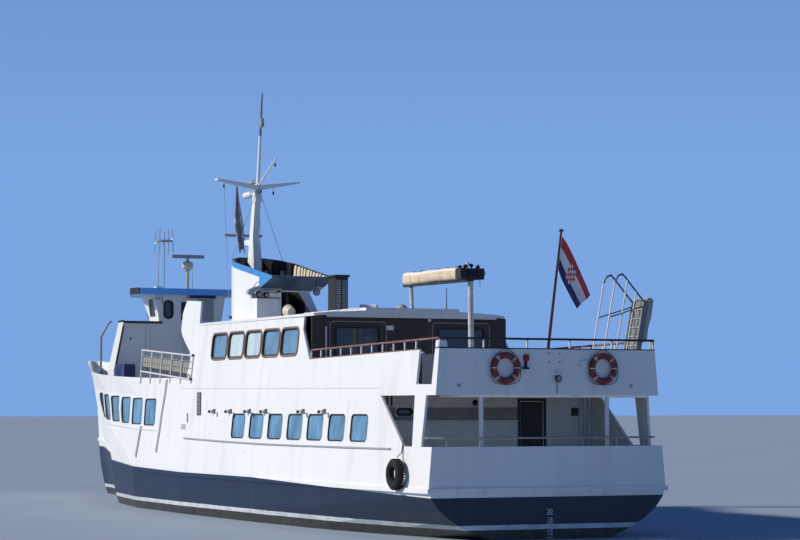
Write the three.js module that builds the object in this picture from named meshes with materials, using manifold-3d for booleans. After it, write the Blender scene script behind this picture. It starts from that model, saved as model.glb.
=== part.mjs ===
// Passenger ferry, about 36 m long, white over navy, afloat.
// Millimetres. +X runs to the bow, +Y to port, +Z up.
// The origin lies on the centreline at the waterline, half way along the ship.
// Heights in the tables of the hull are taken without sheer, which is added by sheer(x).

import * as THREE from 'three';
import { mergeVertices } from 'three/addons/utils/BufferGeometryUtils.js';
import Module from 'manifold-3d';

const wasm = await Module();
wasm.setup();

// Driving dimensions
const GAP = 0.3; // between pieces that touch
const EDGE_GAP = 0.8; // between a deck and the plating round it
const STERN_X = -17600; // transom
const STEM_X = 16900; // stem at the height of the main deck
const SHEER_RISE = 900; // how much higher every deck line lies at the bow
const SHEER_START_X = -2000;
const SHEER_END_X = 18200;
const MAIN_DECK_Z = 1200; // deck edge and knuckle of the hull
const UPPER_DECK_Z = 3400; // underside of the upper deck
const DECK_THICK = 60;
const DECK_AFT_X = STERN_X + 150; // after edge of the decks, inside the stern plating
const PLATE = 60; // thickness of shell and bulwark plating
const STEM_RAKE = 0.00017; // forward curve of the stem above the main deck, per mm squared
const BOW_FILL_X = 16100; // forward of this the bow is solid
const LEVEL_STEP = 1100; // between the levels at which the side bends
const BELT = 45; // how far the rubbing belt stands proud
const FOREFOOT = 2400; // how far the forefoot lies behind the stem
const KEEL_Z = -1900;
const STERN_BULWARK_TOP = 2150;
const UPPER_BULWARK_TOP = 4420;
const SALOON_ROOF_Z = 5420; // roof edge of the upper saloon
const FIN_TOP = 6200; // side fin between the saloon and the well deck
const CAMBER = 120; // crown of the roofs
const UPPER_DECK_TOP = UPPER_DECK_Z + DECK_THICK;
const MAIN_DECK_TOP = MAIN_DECK_Z + DECK_THICK;
const OUTBOARD = 4000; // beyond the ship's side, for cuts that go right through

// Stations of the hull: x, height of the keel, half breadth at the main deck and at the upper
// deck, and the fullness of the section below the main deck (2 is an ellipse)
const STATIONS = [
  { x: STERN_X, keel: -250, main: 3120, upper: 2935, full: 1.8 },
  { x: -16300, keel: -420, main: 3165, upper: 2975, full: 1.9 },
  { x: -14500, keel: -700, main: 3220, upper: 3015, full: 2.0 },
  { x: -11500, keel: -1200, main: 3275, upper: 3050, full: 2.3 },
  { x: -7000, keel: -1650, main: 3300, upper: 3075, full: 2.8 },
  { x: -1000, keel: -1850, main: 3300, upper: 3080, full: 3.0 },
  { x: 3500, keel: KEEL_Z, main: 3180, upper: 3040, full: 2.6 },
  { x: 7300, keel: KEEL_Z, main: 2650, upper: 2850, full: 2.1 },
  { x: 10300, keel: KEEL_Z, main: 1680, upper: 2230, full: 1.7 },
  { x: 12800, keel: KEEL_Z, main: 1000, upper: 1360, full: 1.4 },
  { x: 14800, keel: KEEL_Z, main: 480, upper: 670, full: 1.2 },
  { x: 16100, keel: KEEL_Z, main: 160, upper: 240, full: 1.1 },
  { x: STEM_X, keel: KEEL_Z, main: 60, upper: 60, full: 1.0 },
];

// Solids

function toSolid(geometry) {
  const bare = geometry.clone();
  for (const name of Object.keys(bare.attributes)) {
    if (name !== 'position') bare.deleteAttribute(name);
  }
  const merged = mergeVertices(bare, 1e-3);
  return new wasm.Manifold(new wasm.Mesh({
    numProp: 3,
    vertProperties: new Float32Array(merged.attributes.position.array),
    triVerts: new Uint32Array(merged.index.array),
  }));
}

function toGeometry(solid) {
  const mesh = solid.getMesh();
  const geometry = new THREE.BufferGeometry();
  geometry.setAttribute('position', new THREE.Float32BufferAttribute(mesh.vertProperties, 3));
  geometry.setIndex(new THREE.Uint32BufferAttribute(mesh.triVerts, 1));
  geometry.computeVertexNormals();
  return geometry;
}

function join(solids) {
  return solids.reduce((whole, solid) => whole.add(solid));
}

function cut(solid, tools) {
  return tools.reduce((left, tool) => left.subtract(tool), solid);
}

function block(x0, x1, y0, y1, z0, z1) {
  const geometry = new THREE.BoxGeometry(x1 - x0, y1 - y0, z1 - z0);
  geometry.translate((x0 + x1) / 2, (y0 + y1) / 2, (z0 + z1) / 2);
  return toSolid(geometry);
}

function shapeOf(outline) {
  return outline instanceof THREE.Shape
    ? outline
    : new THREE.Shape(outline.map(([u, v]) => new THREE.Vector2(u, v)));
}

const ROUND_STEPS = 2; // straight pieces in a rounded corner

function extrude(outline, depth) {
  return new THREE.ExtrudeGeometry(shapeOf(outline), {
    depth, bevelEnabled: false, curveSegments: ROUND_STEPS,
  });
}

// An outline in plan, between two heights
function planSolid(outline, z0, z1) {
  const geometry = extrude(outline, z1 - z0);
  geometry.translate(0, 0, z0);
  return toSolid(geometry);
}

// An outline of x and z as seen from the side, between two distances to port
function sideSolid(outline, y0, y1) {
  const geometry = extrude(outline, y1 - y0);
  geometry.rotateX(Math.PI / 2);
  geometry.translate(0, y1, 0);
  return toSolid(geometry);
}

// An outline of y and z as seen from astern, between two stations
function sternSolid(outline, x0, x1) {
  const geometry = extrude(outline, x1 - x0);
  const axes = new THREE.Matrix4().makeBasis(
    new THREE.Vector3(0, 1, 0), new THREE.Vector3(0, 0, 1), new THREE.Vector3(1, 0, 0));
  geometry.applyMatrix4(axes);
  geometry.translate(x0, 0, 0);
  return toSolid(geometry);
}

function roundedRect(u0, u1, v0, v1, radius) {
  const shape = new THREE.Shape();
  shape.moveTo(u0 + radius, v0);
  shape.lineTo(u1 - radius, v0);
  shape.absarc(u1 - radius, v0 + radius, radius, -Math.PI / 2, 0);
  shape.lineTo(u1, v1 - radius);
  shape.absarc(u1 - radius, v1 - radius, radius, 0, Math.PI / 2);
  shape.lineTo(u0 + radius, v1);
  shape.absarc(u0 + radius, v1 - radius, radius, Math.PI / 2, Math.PI);
  shape.lineTo(u0, v0 + radius);
  shape.absarc(u0 + radius, v0 + radius, radius, Math.PI, 1.5 * Math.PI);
  return shape;
}

// A round bar between two points
function rod(from, to, radius, sides = 8, endRadius = radius) {
  const a = new THREE.Vector3(...from);
  const b = new THREE.Vector3(...to);
  const along = b.clone().sub(a);
  const geometry = new THREE.CylinderGeometry(endRadius, radius, along.length(), sides);
  geometry.applyQuaternion(new THREE.Quaternion().setFromUnitVectors(
    new THREE.Vector3(0, 1, 0), along.clone().normalize()));
  geometry.translate(...a.add(b).multiplyScalar(0.5).toArray());
  return toSolid(geometry);
}

// Round bars end to end through the points
function railing(points, radius, sides = 5) {
  const bars = [];
  for (let i = 1; i < points.length; i += 1) {
    const along = new THREE.Vector3(...points[i]).sub(new THREE.Vector3(...points[i - 1])).normalize();
    const over = along.multiplyScalar(radius * 0.9);
    const end = new THREE.Vector3(...points[i]).add(over).toArray();
    bars.push(rod(points[i - 1], end, radius, sides));
  }
  return join(bars);
}

// A turned shape about an upright axis: the profile is a list of radius and height
function turned(profile, centre, sides = 16) {
  const geometry = new THREE.LatheGeometry(profile.map(([r, h]) => new THREE.Vector2(r, h)), sides);
  geometry.rotateX(Math.PI / 2);
  geometry.translate(...centre);
  return toSolid(geometry);
}

// A skin over rings of points, each ring round the same way, with flat ends
function loft(rings) {
  const n = rings[0].length;
  const positions = rings.flat().flatMap((p) => p);
  const index = [];
  for (let i = 0; i + 1 < rings.length; i += 1) {
    for (let j = 0; j < n; j += 1) {
      const k = (j + 1) % n;
      const [a, b, c, d] = [i * n + j, i * n + k, (i + 1) * n + k, (i + 1) * n + j];
      index.push(a, b, c, a, c, d);
    }
  }
  for (const [ring, first] of [[rings[0], 0], [rings.at(-1), (rings.length - 1) * n]]) {
    const middle = positions.length / 3;
    for (let axis = 0; axis < 3; axis += 1) {
      positions.push(ring.reduce((sum, p) => sum + p[axis], 0) / n);
    }
    for (let j = 0; j < n; j += 1) {
      const [a, b] = [first + j, first + ((j + 1) % n)];
      if (first === 0) index.push(b, a, middle);
      else index.push(a, b, middle);
    }
  }
  const geometry = new THREE.BufferGeometry();
  geometry.setAttribute('position', new THREE.Float32BufferAttribute(positions, 3));
  geometry.setIndex(index);
  const flipped = signedVolume(positions, index) < 0;
  if (flipped) geometry.setIndex(index.map((_, i) => index[i - (i % 3) + (2 - (i % 3))]));
  return toSolid(geometry);
}

function signedVolume(positions, index) {
  const [a, b, c] = [new THREE.Vector3(), new THREE.Vector3(), new THREE.Vector3()];
  let volume = 0;
  for (let i = 0; i < index.length; i += 3) {
    a.fromArray(positions, 3 * index[i]);
    b.fromArray(positions, 3 * index[i + 1]);
    c.fromArray(positions, 3 * index[i + 2]);
    volume += a.dot(b.cross(c)) / 6;
  }
  return volume;
}

// Form of the hull

function sheer(x) {
  const along = Math.max(0, (x - SHEER_START_X) / (SHEER_END_X - SHEER_START_X));
  return SHEER_RISE * along * along;
}

function stationAt(x) {
  const last = STATIONS.length - 1;
  let i = 0;
  while (i < last - 1 && x > STATIONS[i + 1].x) i += 1;
  const [from, to] = [STATIONS[i], STATIONS[i + 1]];
  const part = (x - from.x) / (to.x - from.x);
  const mix = (key) => from[key] + (to[key] - from[key]) * part;
  return { x, keel: mix('keel'), main: mix('main'), upper: mix('upper'), full: mix('full') };
}

// How strongly a station follows the rake of the stem
function bowShare(x) {
  const part = Math.min(1, Math.max(0, (x - 8000) / (STEM_X - 8000)));
  return part * part * (3 - 2 * part);
}

// Above the main deck the stem is straight between levels
function stemShift(height) {
  const above = height - MAIN_DECK_Z;
  if (above < 0) return -FOREFOOT * (above / (KEEL_Z - MAIN_DECK_Z)) ** 2.2;
  const step = Math.floor(above / LEVEL_STEP);
  const [low, high] = [step, step + 1].map((n) => STEM_RAKE * (n * LEVEL_STEP) ** 2);
  return low + (high - low) * (above / LEVEL_STEP - step);
}

function halfBreadth(station, height) {
  const slope = (station.upper - station.main) / (UPPER_DECK_Z - MAIN_DECK_Z);
  return station.main + slope * (height - MAIN_DECK_Z);
}

// Half breadth of the side at a place above the main deck
function sideY(x, height) {
  return halfBreadth(stationAt(x), height);
}

function sidePoint(station, height, inset = 0) {
  const x = station.x + bowShare(station.x) * stemShift(height);
  return [x, halfBreadth(station, height) - inset, height + sheer(station.x)];
}

// The slice of the ship between two heights, cut off at the given stations
function slice(low, high, inset = 0, fromX = STERN_X, toX = STEM_X) {
  const heights = [low];
  for (let h = MAIN_DECK_Z; h < high; h += LEVEL_STEP) if (h > low) heights.push(h);
  heights.push(high);
  const inner = STATIONS.filter((s) => s.x > fromX + 1 && s.x < toX - 1);
  const rows = [stationAt(fromX), ...inner, stationAt(toX)];
  return loft(rows
    .filter((station) => halfBreadth(station, low) - inset > 20)
    .map((station) => {
      const port = heights.map((h) => sidePoint(station, h, inset));
      return [...port, ...port.map(([x, y, z]) => [x, -y, z]).reverse()];
    }));
}

const BOTTOM_STEPS = 8; // straight pieces from the keel to the main deck

function bottomRing(station) {
  const depth = MAIN_DECK_Z - station.keel;
  const power = 2 / station.full;
  const port = [];
  for (let i = 0; i <= BOTTOM_STEPS; i += 1) {
    const angle = (i / BOTTOM_STEPS) * Math.PI / 2;
    const y = Math.max(station.main * Math.sin(angle) ** power, 15);
    const height = MAIN_DECK_Z - depth * Math.max(Math.cos(angle), 0) ** power;
    const x = station.x + bowShare(station.x) * stemShift(height);
    port.push([x, y, height + sheer(station.x)]);
  }
  return [...port, ...port.map(([x, y, z]) => [x, -y, z]).reverse()];
}

// Materials, by name: colour, roughness and metalness
const PAINT = {
  white: [0xf2f2ee, 0.45, 0.0],
  navy: [0x16284e, 0.5, 0.0],
  azure: [0x2f7fd0, 0.4, 0.0],
  deck: [0x5d6b62, 0.85, 0.0],
  cream: [0xe8dcbc, 0.8, 0.0],
  steel: [0x9aa0a4, 0.4, 0.8],
  black: [0x17181a, 0.6, 0.0],
  brown: [0x3b2a22, 0.55, 0.0],
  rust: [0x8a5a4a, 0.6, 0.0],
  red: [0x8e2426, 0.6, 0.0],
  bronze: [0xa8803c, 0.35, 0.9],
  wood: [0x4a2417, 0.45, 0.0],
  rubber: [0x1b1b1c, 0.85, 0.0],
  grey: [0xb9bcbd, 0.55, 0.0],
};

const ferry = new THREE.Group();

function piece(name, solid, paint) {
  const [color, roughness, metalness] = PAINT[paint];
  const mesh = new THREE.Mesh(
    toGeometry(solid), new THREE.MeshStandardMaterial({ color, roughness, metalness }));
  mesh.name = name;
  ferry.add(mesh);
}

// Underwater gear

const SHAFT_Z = -1350;
const SHAFT_RADIUS = 60;
const BEARING_SIDES = 24;
const BORE_RADIUS = 60.85; // bearings of the shaft, the rudder stock and the windlass
const BOSS_AFT_X = -14900;
const PROPELLER_X = -15150;
const PROPELLER_RADIUS = 560;
const BLADES = 4;
const RUDDER_X = -16350; // rudder stock
const RUDDER_TOP = -560;
const RUDDER_BOTTOM = -1850;

const ENGINE = { x0: -9300, x1: -6700, y: 550, z0: -900, z1: 500 };
const ENGINE_ROOM = { x0: -10000, x1: -6000, y: 1300, z0: -1000 };

function hull() {
  const body = loft(STATIONS.map(bottomRing));
  const belt = slice(MAIN_DECK_Z - 110, MAIN_DECK_Z, -BELT, STERN_X - BELT);
  const skeg = sideSolid([[-5000, -1500], [-5000, -1800], [-13600, -1950], [-14300, -1750],
    [-14300, -700], [-9000, -700]], -80, 80);
  const boss = rod([-12000, 0, SHAFT_Z], [BOSS_AFT_X, 0, SHAFT_Z], 150, 12);
  const bore = rod([-14300, 0, SHAFT_Z], [BOSS_AFT_X - 10, 0, SHAFT_Z], BORE_RADIUS,
    BEARING_SIDES);
  const trunk = rod([RUDDER_X, 0, RUDDER_TOP - 10], [RUDDER_X, 0, 250], BORE_RADIUS,
    BEARING_SIDES);
  const trunkBoss = rod([RUDDER_X, 0, RUDDER_TOP + 40], [RUDDER_X, 0, 0], 130, 12);
  const room = block(ENGINE_ROOM.x0, ENGINE_ROOM.x1, -ENGINE_ROOM.y, ENGINE_ROOM.y,
    ENGINE_ROOM.z0, MAIN_DECK_Z + 400);
  return cut(join([body, belt, skeg, boss, trunkBoss]), [bore, trunk, room]);
}

function propeller() {
  const hub = rod([PROPELLER_X + 160, 0, SHAFT_Z], [PROPELLER_X - 160, 0, SHAFT_Z], 130, 16, 80);
  const shaft = rod([-14350, 0, SHAFT_Z], [PROPELLER_X, 0, SHAFT_Z], SHAFT_RADIUS,
    BEARING_SIDES);
  const blades = [];
  for (let i = 0; i < BLADES; i += 1) {
    const blade = extrude(roundedRect(-170, 170, 60, PROPELLER_RADIUS, 160), 36);
    blade.translate(0, 0, -18);
    blade.rotateY(Math.PI / 2 - 0.5);
    blade.rotateX(i * 2 * Math.PI / BLADES);
    blade.translate(PROPELLER_X, 0, SHAFT_Z);
    blades.push(toSolid(blade));
  }
  return join([hub, shaft, ...blades]);
}

function rudder() {
  const blade = planSolid([[-16950, -25], [-16350, -90], [-16080, -60], [-16020, 0],
    [-16080, 60], [-16350, 90], [-16950, 25]], RUDDER_BOTTOM, RUDDER_TOP - 30);
  const stock = rod([RUDDER_X, 0, RUDDER_TOP - 60], [RUDDER_X, 0, 240], SHAFT_RADIUS,
    BEARING_SIDES);
  return blade.add(stock);
}

piece('hull', hull(), 'navy');
piece('engine', block(ENGINE.x0, ENGINE.x1, -ENGINE.y, ENGINE.y, ENGINE_ROOM.z0 + GAP, ENGINE.z1),
  'grey');
piece('propeller', propeller(), 'bronze');
piece('rudder', rudder(), 'navy');

// Decks

// The space inside the lower and the upper plating, kept clear of it by a gap
function lowerSpace(gap) {
  return slice(MAIN_DECK_Z - 60, UPPER_DECK_Z + 60, PLATE + gap, STERN_X + PLATE + gap,
    BOW_FILL_X - 4 * gap);
}

function upperSpace(gap) {
  return slice(UPPER_DECK_Z - 60, FIN_TOP + 400, PLATE + gap, STERN_X + PLATE + gap,
    BOW_FILL_X - 4 * gap);
}

// A layer across the whole ship that follows the sheer
function layer(low, high) {
  return slice(low, high, -300, STERN_X - 300);
}

// Everything below the walking surface of the upper deck, to seat houses and fittings on it
function belowUpperDeck() {
  return layer(UPPER_DECK_Z - 1200, UPPER_DECK_TOP + GAP);
}

const MAIN_SALOON_AFT_X = -14450; // after wall of the main saloon
const FORWARD_HOUSE_X = 7300; // after wall of the house below the wheelhouse
const UPPER_SALOON_AFT_X = -9900;

// A deck inside the plating, with the waterway left open behind its after edge
function deck(space, low, high) {
  const waterway = block(STERN_X - 500, DECK_AFT_X, -OUTBOARD, OUTBOARD, 0, 6000);
  return space.intersect(layer(low, high)).subtract(waterway);
}

piece('main_deck', deck(lowerSpace(EDGE_GAP), MAIN_DECK_Z + GAP, MAIN_DECK_TOP), 'deck');
piece('upper_deck', deck(upperSpace(EDGE_GAP), UPPER_DECK_Z + GAP, UPPER_DECK_TOP), 'deck');

// Side plating

const LOWER_WINDOWS = { first: -5490, pitch: -1352, count: 7, width: 1000, z0: 2220, z1: 2900 };
const UPPER_WINDOWS = { first: -3423, pitch: -1310, count: 5, width: 1150, z0: 4440, z1: 5140 };
const BOW_WINDOWS = { first: 2200, pitch: 1330, count: 6, width: 1100, z0: 2480, z1: 3300 };
const CORNER = 130; // corner radius of the saloon windows

// Heights of a window row rise with the sheer
function windowCuts(row, rises = false) {
  return Array.from({ length: row.count }, (_, i) => {
    const x = row.first + i * row.pitch;
    const lift = rises ? sheer(x) : 0;
    return sideSolid(roundedRect(
      x - row.width / 2, x + row.width / 2, row.z0 + lift, row.z1 + lift, CORNER),
    -OUTBOARD, OUTBOARD);
  });
}

const AFT_OPENING = { top: 3340, bottom: STERN_BULWARK_TOP, foreTop: -14700, foreBottom: -16150,
  column: -16600, columnAft: -17060 };

// Rubbing bars down the side: the forward edge of each at its upper and lower end, x and z
const RUBBING_BARS = [[[860, 3900], [1320, 1750]], [[3010, 2500], [3360, 1570]]];
const BAR_WIDTH = 110;
const BAR_DEPTH = 60;

// The side between two heights, with the bars on it
function barredSlice(low, high) {
  const bars = RUBBING_BARS.map(([[x0, z0], [x1, z1]]) => sideSolid(
    [[x0 - BAR_WIDTH, z0], [x0, z0], [x1, z1], [x1 - BAR_WIDTH, z1]], -OUTBOARD, OUTBOARD));
  return slice(low, high).add(slice(low, high, -BAR_DEPTH).intersect(join(bars)));
}

function lowerPlating() {
  const outer = barredSlice(MAIN_DECK_Z + GAP, UPPER_DECK_Z);
  const o = AFT_OPENING;
  const sideOpening = sideSolid([[o.foreTop, o.top], [o.foreBottom, o.bottom],
    [o.column, o.bottom], [o.column + 60, o.top]], -OUTBOARD, OUTBOARD);
  const sternOpening = sideSolid([[o.columnAft, o.bottom], [o.columnAft - 60, o.top],
    [STERN_X - 500, o.top], [STERN_X - 500, o.bottom]], -OUTBOARD, OUTBOARD);
  return cut(outer, [lowerSpace(0), sideOpening, sternOpening,
    ...windowCuts(LOWER_WINDOWS), ...windowCuts(BOW_WINDOWS, true)]);
}

const GATE = { x0: -17350, x1: -16560, z0: 3590, z1: 4330 }; // gates in the upper bulwark
const GATE_HINGE = { x: -16600, y: 2800, pin: 14, bore: 14.7, low: 3605, high: 4312 };

// The top edge of the upper plating as seen from the side
const UPPER_PROFILE = [
  [STERN_X - 200, 3000], [STERN_X - 200, UPPER_BULWARK_TOP], [-10100, 4300], [-9500, 5080],
  [-9500, SALOON_ROOF_Z], [-1560, SALOON_ROOF_Z], [-1500, FIN_TOP - 60], [-300, FIN_TOP],
  [-60, 5850], [-30, 5350], [-180, 5170], [-590, 4900], [-950, 4690], [-1040, 4500],
  [-1030, 4300], [-920, 4060], [-900, 3920],
];

function upperPlating() {
  const outer = barredSlice(UPPER_DECK_Z + GAP, FIN_TOP + 200);
  const bow = [];
  for (let x = 1000; x <= 19000; x += 1500) bow.push([x, 3920 + sheer(Math.min(x, SHEER_END_X))]);
  const keep = sideSolid([...UPPER_PROFILE, ...bow, [19000, 3000]], -OUTBOARD, OUTBOARD);
  const gate = sideSolid([[GATE.x0, GATE.z0], [GATE.x1, GATE.z0], [GATE.x1 - 60, GATE.z1 + 300],
    [GATE.x0 - 60, GATE.z1 + 300]], -OUTBOARD, OUTBOARD);
  const shell = cut(outer.intersect(keep), [upperSpace(0), gate, ...windowCuts(UPPER_WINDOWS)]);
  const { x, y, bore, low, high } = GATE_HINGE;
  const lugs = [[low - 45, low, y + 100], [high, high + 38, y + 50]].map(([z0, z1, out]) => block(
    x - 40, x + 60, y - 30, out, z0, z1));
  return cut(join([shell, ...lugs]), [rod([x, y, low - 100], [x, y, high + 100], bore, 16)]);
}

const SEAM_X = 400; // seam between the side plating and the bow plating

const lowerShell = lowerPlating();

// The lower plating of one side between two stations
function lowerPart(side, x0, x1) {
  const edges = [side * GAP / 2, side * OUTBOARD];
  return lowerShell.intersect(block(x0, x1, Math.min(...edges), Math.max(...edges), 0, 6000));
}

piece('lower_plating_port', lowerPart(1, STERN_X - 500, SEAM_X - GAP), 'white');
piece('lower_plating_starboard', lowerPart(-1, STERN_X - 500, SEAM_X - GAP), 'white');
piece('bow_plating_port', lowerPart(1, SEAM_X, STEM_X + 3000), 'white');
piece('bow_plating_starboard', lowerPart(-1, SEAM_X, STEM_X + 3000), 'white');
piece('upper_plating', upperPlating(), 'white');

// Upper saloon

const ROOF_THICK = 70;
const ROOF_AFT_X = -10050;
const ROOF_FRONT_X = 2150;

// A cambered roof section: half width, height of the edge and of its underside
function cambered(half, z, thick, crown) {
  const points = [];
  for (let i = 0; i <= 8; i += 1) {
    const part = -1 + i / 4;
    points.push([part * half, z + thick + crown * (1 - part * part)]);
  }
  for (let i = 8; i >= 0; i -= 1) {
    const part = -1 + i / 4;
    points.push([part * half, z + crown * (1 - part * part)]);
  }
  return points.reverse();
}

const ROOF_HALF = 2890; // half width of the saloon roof, just outside the plating
const ROOF_AFT_HALF = 2450; // half width of its after edge, between the rounded corners
const FASCIA_Z = 5400; // lower edge of the fascia under the after edge
const COAMING_TOP = 5660;

// Everything below the top of the saloon roof, to seat what stands on it
function belowSaloonRoof() {
  return sternSolid(cambered(ROOF_HALF, 4000, SALOON_ROOF_Z + ROOF_THICK + 2 * GAP - 4000, CAMBER),
    ROOF_AFT_X - 500, ROOF_FRONT_X + 500);
}

function saloonRoof() {
  const plate = sternSolid(
    cambered(ROOF_HALF, SALOON_ROOF_Z + GAP, ROOF_THICK, CAMBER), ROOF_AFT_X, ROOF_FRONT_X);
  const plan = planSolid(mirrored([[ROOF_AFT_X, ROOF_AFT_HALF], [ROOF_AFT_X + 130, 2760],
    [ROOF_AFT_X + 450, ROOF_HALF], [-1620, ROOF_HALF], [-1620, 2700], [-200, 2700], [1000, 2150],
    [1800, 1250], [ROOF_FRONT_X, 500]]), 5000, 6500);
  const fascia = block(ROOF_AFT_X, ROOF_AFT_X + 60, -ROOF_AFT_HALF, ROOF_AFT_HALF, FASCIA_Z,
    COAMING_TOP).intersect(sternSolid(cambered(
    ROOF_HALF, 4000, SALOON_ROOF_Z + ROOF_THICK / 2 - 4000, CAMBER), ROOF_AFT_X - 100, -9000));
  const coaming = block(ROOF_AFT_X + 10, -6200, -1350, 1350, SALOON_ROOF_Z + CAMBER + 10,
    COAMING_TOP);
  return join([plate.intersect(plan), fascia, coaming]);
}

const SALOON_WALL = 60;

function saloonEnds() {
  const half = sideY(UPPER_SALOON_AFT_X, 4400) - PLATE - 90;
  const aft = block(UPPER_SALOON_AFT_X, UPPER_SALOON_AFT_X + SALOON_WALL, -half, half,
    UPPER_DECK_TOP + GAP, 6000);
  const room = sternSolid(cambered(ROOF_HALF, 3000, SALOON_ROOF_Z - 3000, CAMBER),
    ROOF_AFT_X, ROOF_FRONT_X);
  const windows = [[900, 2150], [-2150, -800]].map(([y0, y1]) => sternSolid(
    roundedRect(y0, y1, 4380, 5150, 90), UPPER_SALOON_AFT_X - 50, UPPER_SALOON_AFT_X + 150));
  const door = block(UPPER_SALOON_AFT_X - 50, UPPER_SALOON_AFT_X + 150, -420, 420,
    UPPER_DECK_TOP - 10, 5380);
  return cut(aft.intersect(room), [...windows, door]);
}

function saloonFront() {
  const outer = planSolid(mirrored([[-1200, 2880], [-200, 2480], [950, 1980], [1730, 1150],
    [2050, 450]]), UPPER_DECK_Z, 6000);
  const inner = planSolid(mirrored([[-1400, 2820], [-1200, 2820], [-220, 2420], [920, 1930],
    [1685, 1115], [1990, 430]]), 3000, 6500);
  const room = sternSolid(cambered(ROOF_HALF, 3000, SALOON_ROOF_Z - 3000, CAMBER), -1400, 2200);
  return cut(outer.intersect(room).intersect(upperSpace(EDGE_GAP)), [inner, belowUpperDeck()]);
}

const DOOR_GAP = 8;

// A door with the knuckles of its hinges, which reach to the jamb on its port edge
function hung(door, x, y, heights) {
  return join([door, ...heights.map((z) => block(x, x + 20, y - 30, y + DOOR_GAP - GAP, z, z + 110))]);
}

piece('saloon_roof', saloonRoof(), 'white');
piece('upper_saloon_aft_wall', saloonEnds(), 'brown');
piece('upper_saloon_front', saloonFront(), 'white');
piece('upper_saloon_door', hung(block(UPPER_SALOON_AFT_X, UPPER_SALOON_AFT_X + SALOON_WALL,
  -420 + DOOR_GAP, 420 - DOOR_GAP, UPPER_DECK_TOP + 20, 5380 - DOOR_GAP),
UPPER_SALOON_AFT_X, 420 - DOOR_GAP, [3700, 4400, 5100]), 'brown');

// After end of the main saloon, with the door to the after deck

const SALOON_DOOR = { y0: -1500, y1: -870, top: 3200 };

function mainSaloonWall() {
  const wall = lowerSpace(EDGE_GAP).intersect(block(MAIN_SALOON_AFT_X, MAIN_SALOON_AFT_X + SALOON_WALL,
    -OUTBOARD, OUTBOARD, MAIN_DECK_TOP + GAP, UPPER_DECK_Z - GAP));
  const door = block(MAIN_SALOON_AFT_X - 50, MAIN_SALOON_AFT_X + 150, SALOON_DOOR.y0,
    SALOON_DOOR.y1, MAIN_DECK_TOP - 10, SALOON_DOOR.top);
  const port = sternSolid(roundedRect(2070, 2480, 2870, 3030, 75),
    MAIN_SALOON_AFT_X - 50, MAIN_SALOON_AFT_X + 150);
  return cut(wall, [door, port]);
}

piece('main_saloon_aft_wall', mainSaloonWall(), 'grey');
piece('main_saloon_door', hung(block(MAIN_SALOON_AFT_X, MAIN_SALOON_AFT_X + SALOON_WALL,
  SALOON_DOOR.y0 + DOOR_GAP, SALOON_DOOR.y1 - DOOR_GAP, MAIN_DECK_TOP + 20,
  SALOON_DOOR.top - DOOR_GAP),
MAIN_SALOON_AFT_X, SALOON_DOOR.y1 - DOOR_GAP, [1500, 2150, 2850]), 'brown');

// After deck: pillars under the overhanging deck and the low rail on the bulwark

function aftPillars() {
  const x = STERN_X + 190;
  const beam = block(x - 70, x + 70, -2700, 2700, UPPER_DECK_Z - 110, UPPER_DECK_Z - GAP);
  const posts = [-1640, 1690].map((y) => rod(
    [x, y, MAIN_DECK_TOP + GAP], [x, y, UPPER_DECK_Z - 60], 55, 12));
  return join([beam, ...posts]);
}

function sternHandrail() {
  const z = 2350;
  const end = AFT_OPENING.columnAft - 45;
  const side = sideY(end, z) - 30;
  const path = [[end, side, z], [STERN_X + 300, side - 20, z], [STERN_X + 30, 2750, z],
    [STERN_X + 30, -2750, z], [STERN_X + 300, 20 - side, z], [end, -side, z]];
  const feet = [-2650, -1800, -900, 0, 900, 1800, 2650].map((y) => block(
    STERN_X + 16, STERN_X + 44, y - 14, y + 14, STERN_BULWARK_TOP + GAP, z));
  return join([railing(path, 25), ...feet]);
}

piece('aft_pillars', aftPillars(), 'white');
piece('stern_handrail', sternHandrail(), 'steel');

// Rail on the upper bulwark

function post([x, y, z], top, half = 18) {
  return block(x - half, x + half, y - half, y + half, z, top);
}

const RAIL = { foreX: -10150, aftX: STERN_X + 30, lift: 230, foreZ: 4300, spaces: 12 };

function railTop(x) {
  const { foreX, aftX, foreZ, lift } = RAIL;
  return UPPER_BULWARK_TOP + lift + (foreZ - UPPER_BULWARK_TOP) * (x - aftX) / (foreX - aftX);
}

// Distance of the rail from the centreline
function railY(x) {
  const [fore, aft] = [RAIL.foreX, RAIL.aftX].map((end) => sideY(end, UPPER_BULWARK_TOP) - 32);
  return fore + (aft - fore) * (x - RAIL.foreX) / (RAIL.aftX - RAIL.foreX);
}

function railBar(side, x0, x1) {
  return rod([x0, side * railY(x0), railTop(x0)], [x1, side * railY(x1), railTop(x1)], 28, 6);
}

function railPosts(side, places) {
  return places.map((x) => post([x, side * railY(x), 4200], railTop(x)));
}

// Posts of one side, leaving out the gate
function sidePlaces() {
  const { foreX, aftX, spaces } = RAIL;
  const places = Array.from({ length: spaces + 1 }, (_, i) => foreX + (aftX - foreX) * i / spaces);
  return places.filter((x) => x < GATE.x0 - 100 || x > GATE.x1 + 100);
}

function aboveBulwark(solid) {
  return solid.subtract(sideSolid([[STERN_X - 200, 4000], [STERN_X - 200, UPPER_BULWARK_TOP + GAP],
    [-10100, RAIL.foreZ + GAP], [-9000, RAIL.foreZ + GAP], [-9000, 4000]], -OUTBOARD, OUTBOARD));
}

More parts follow.
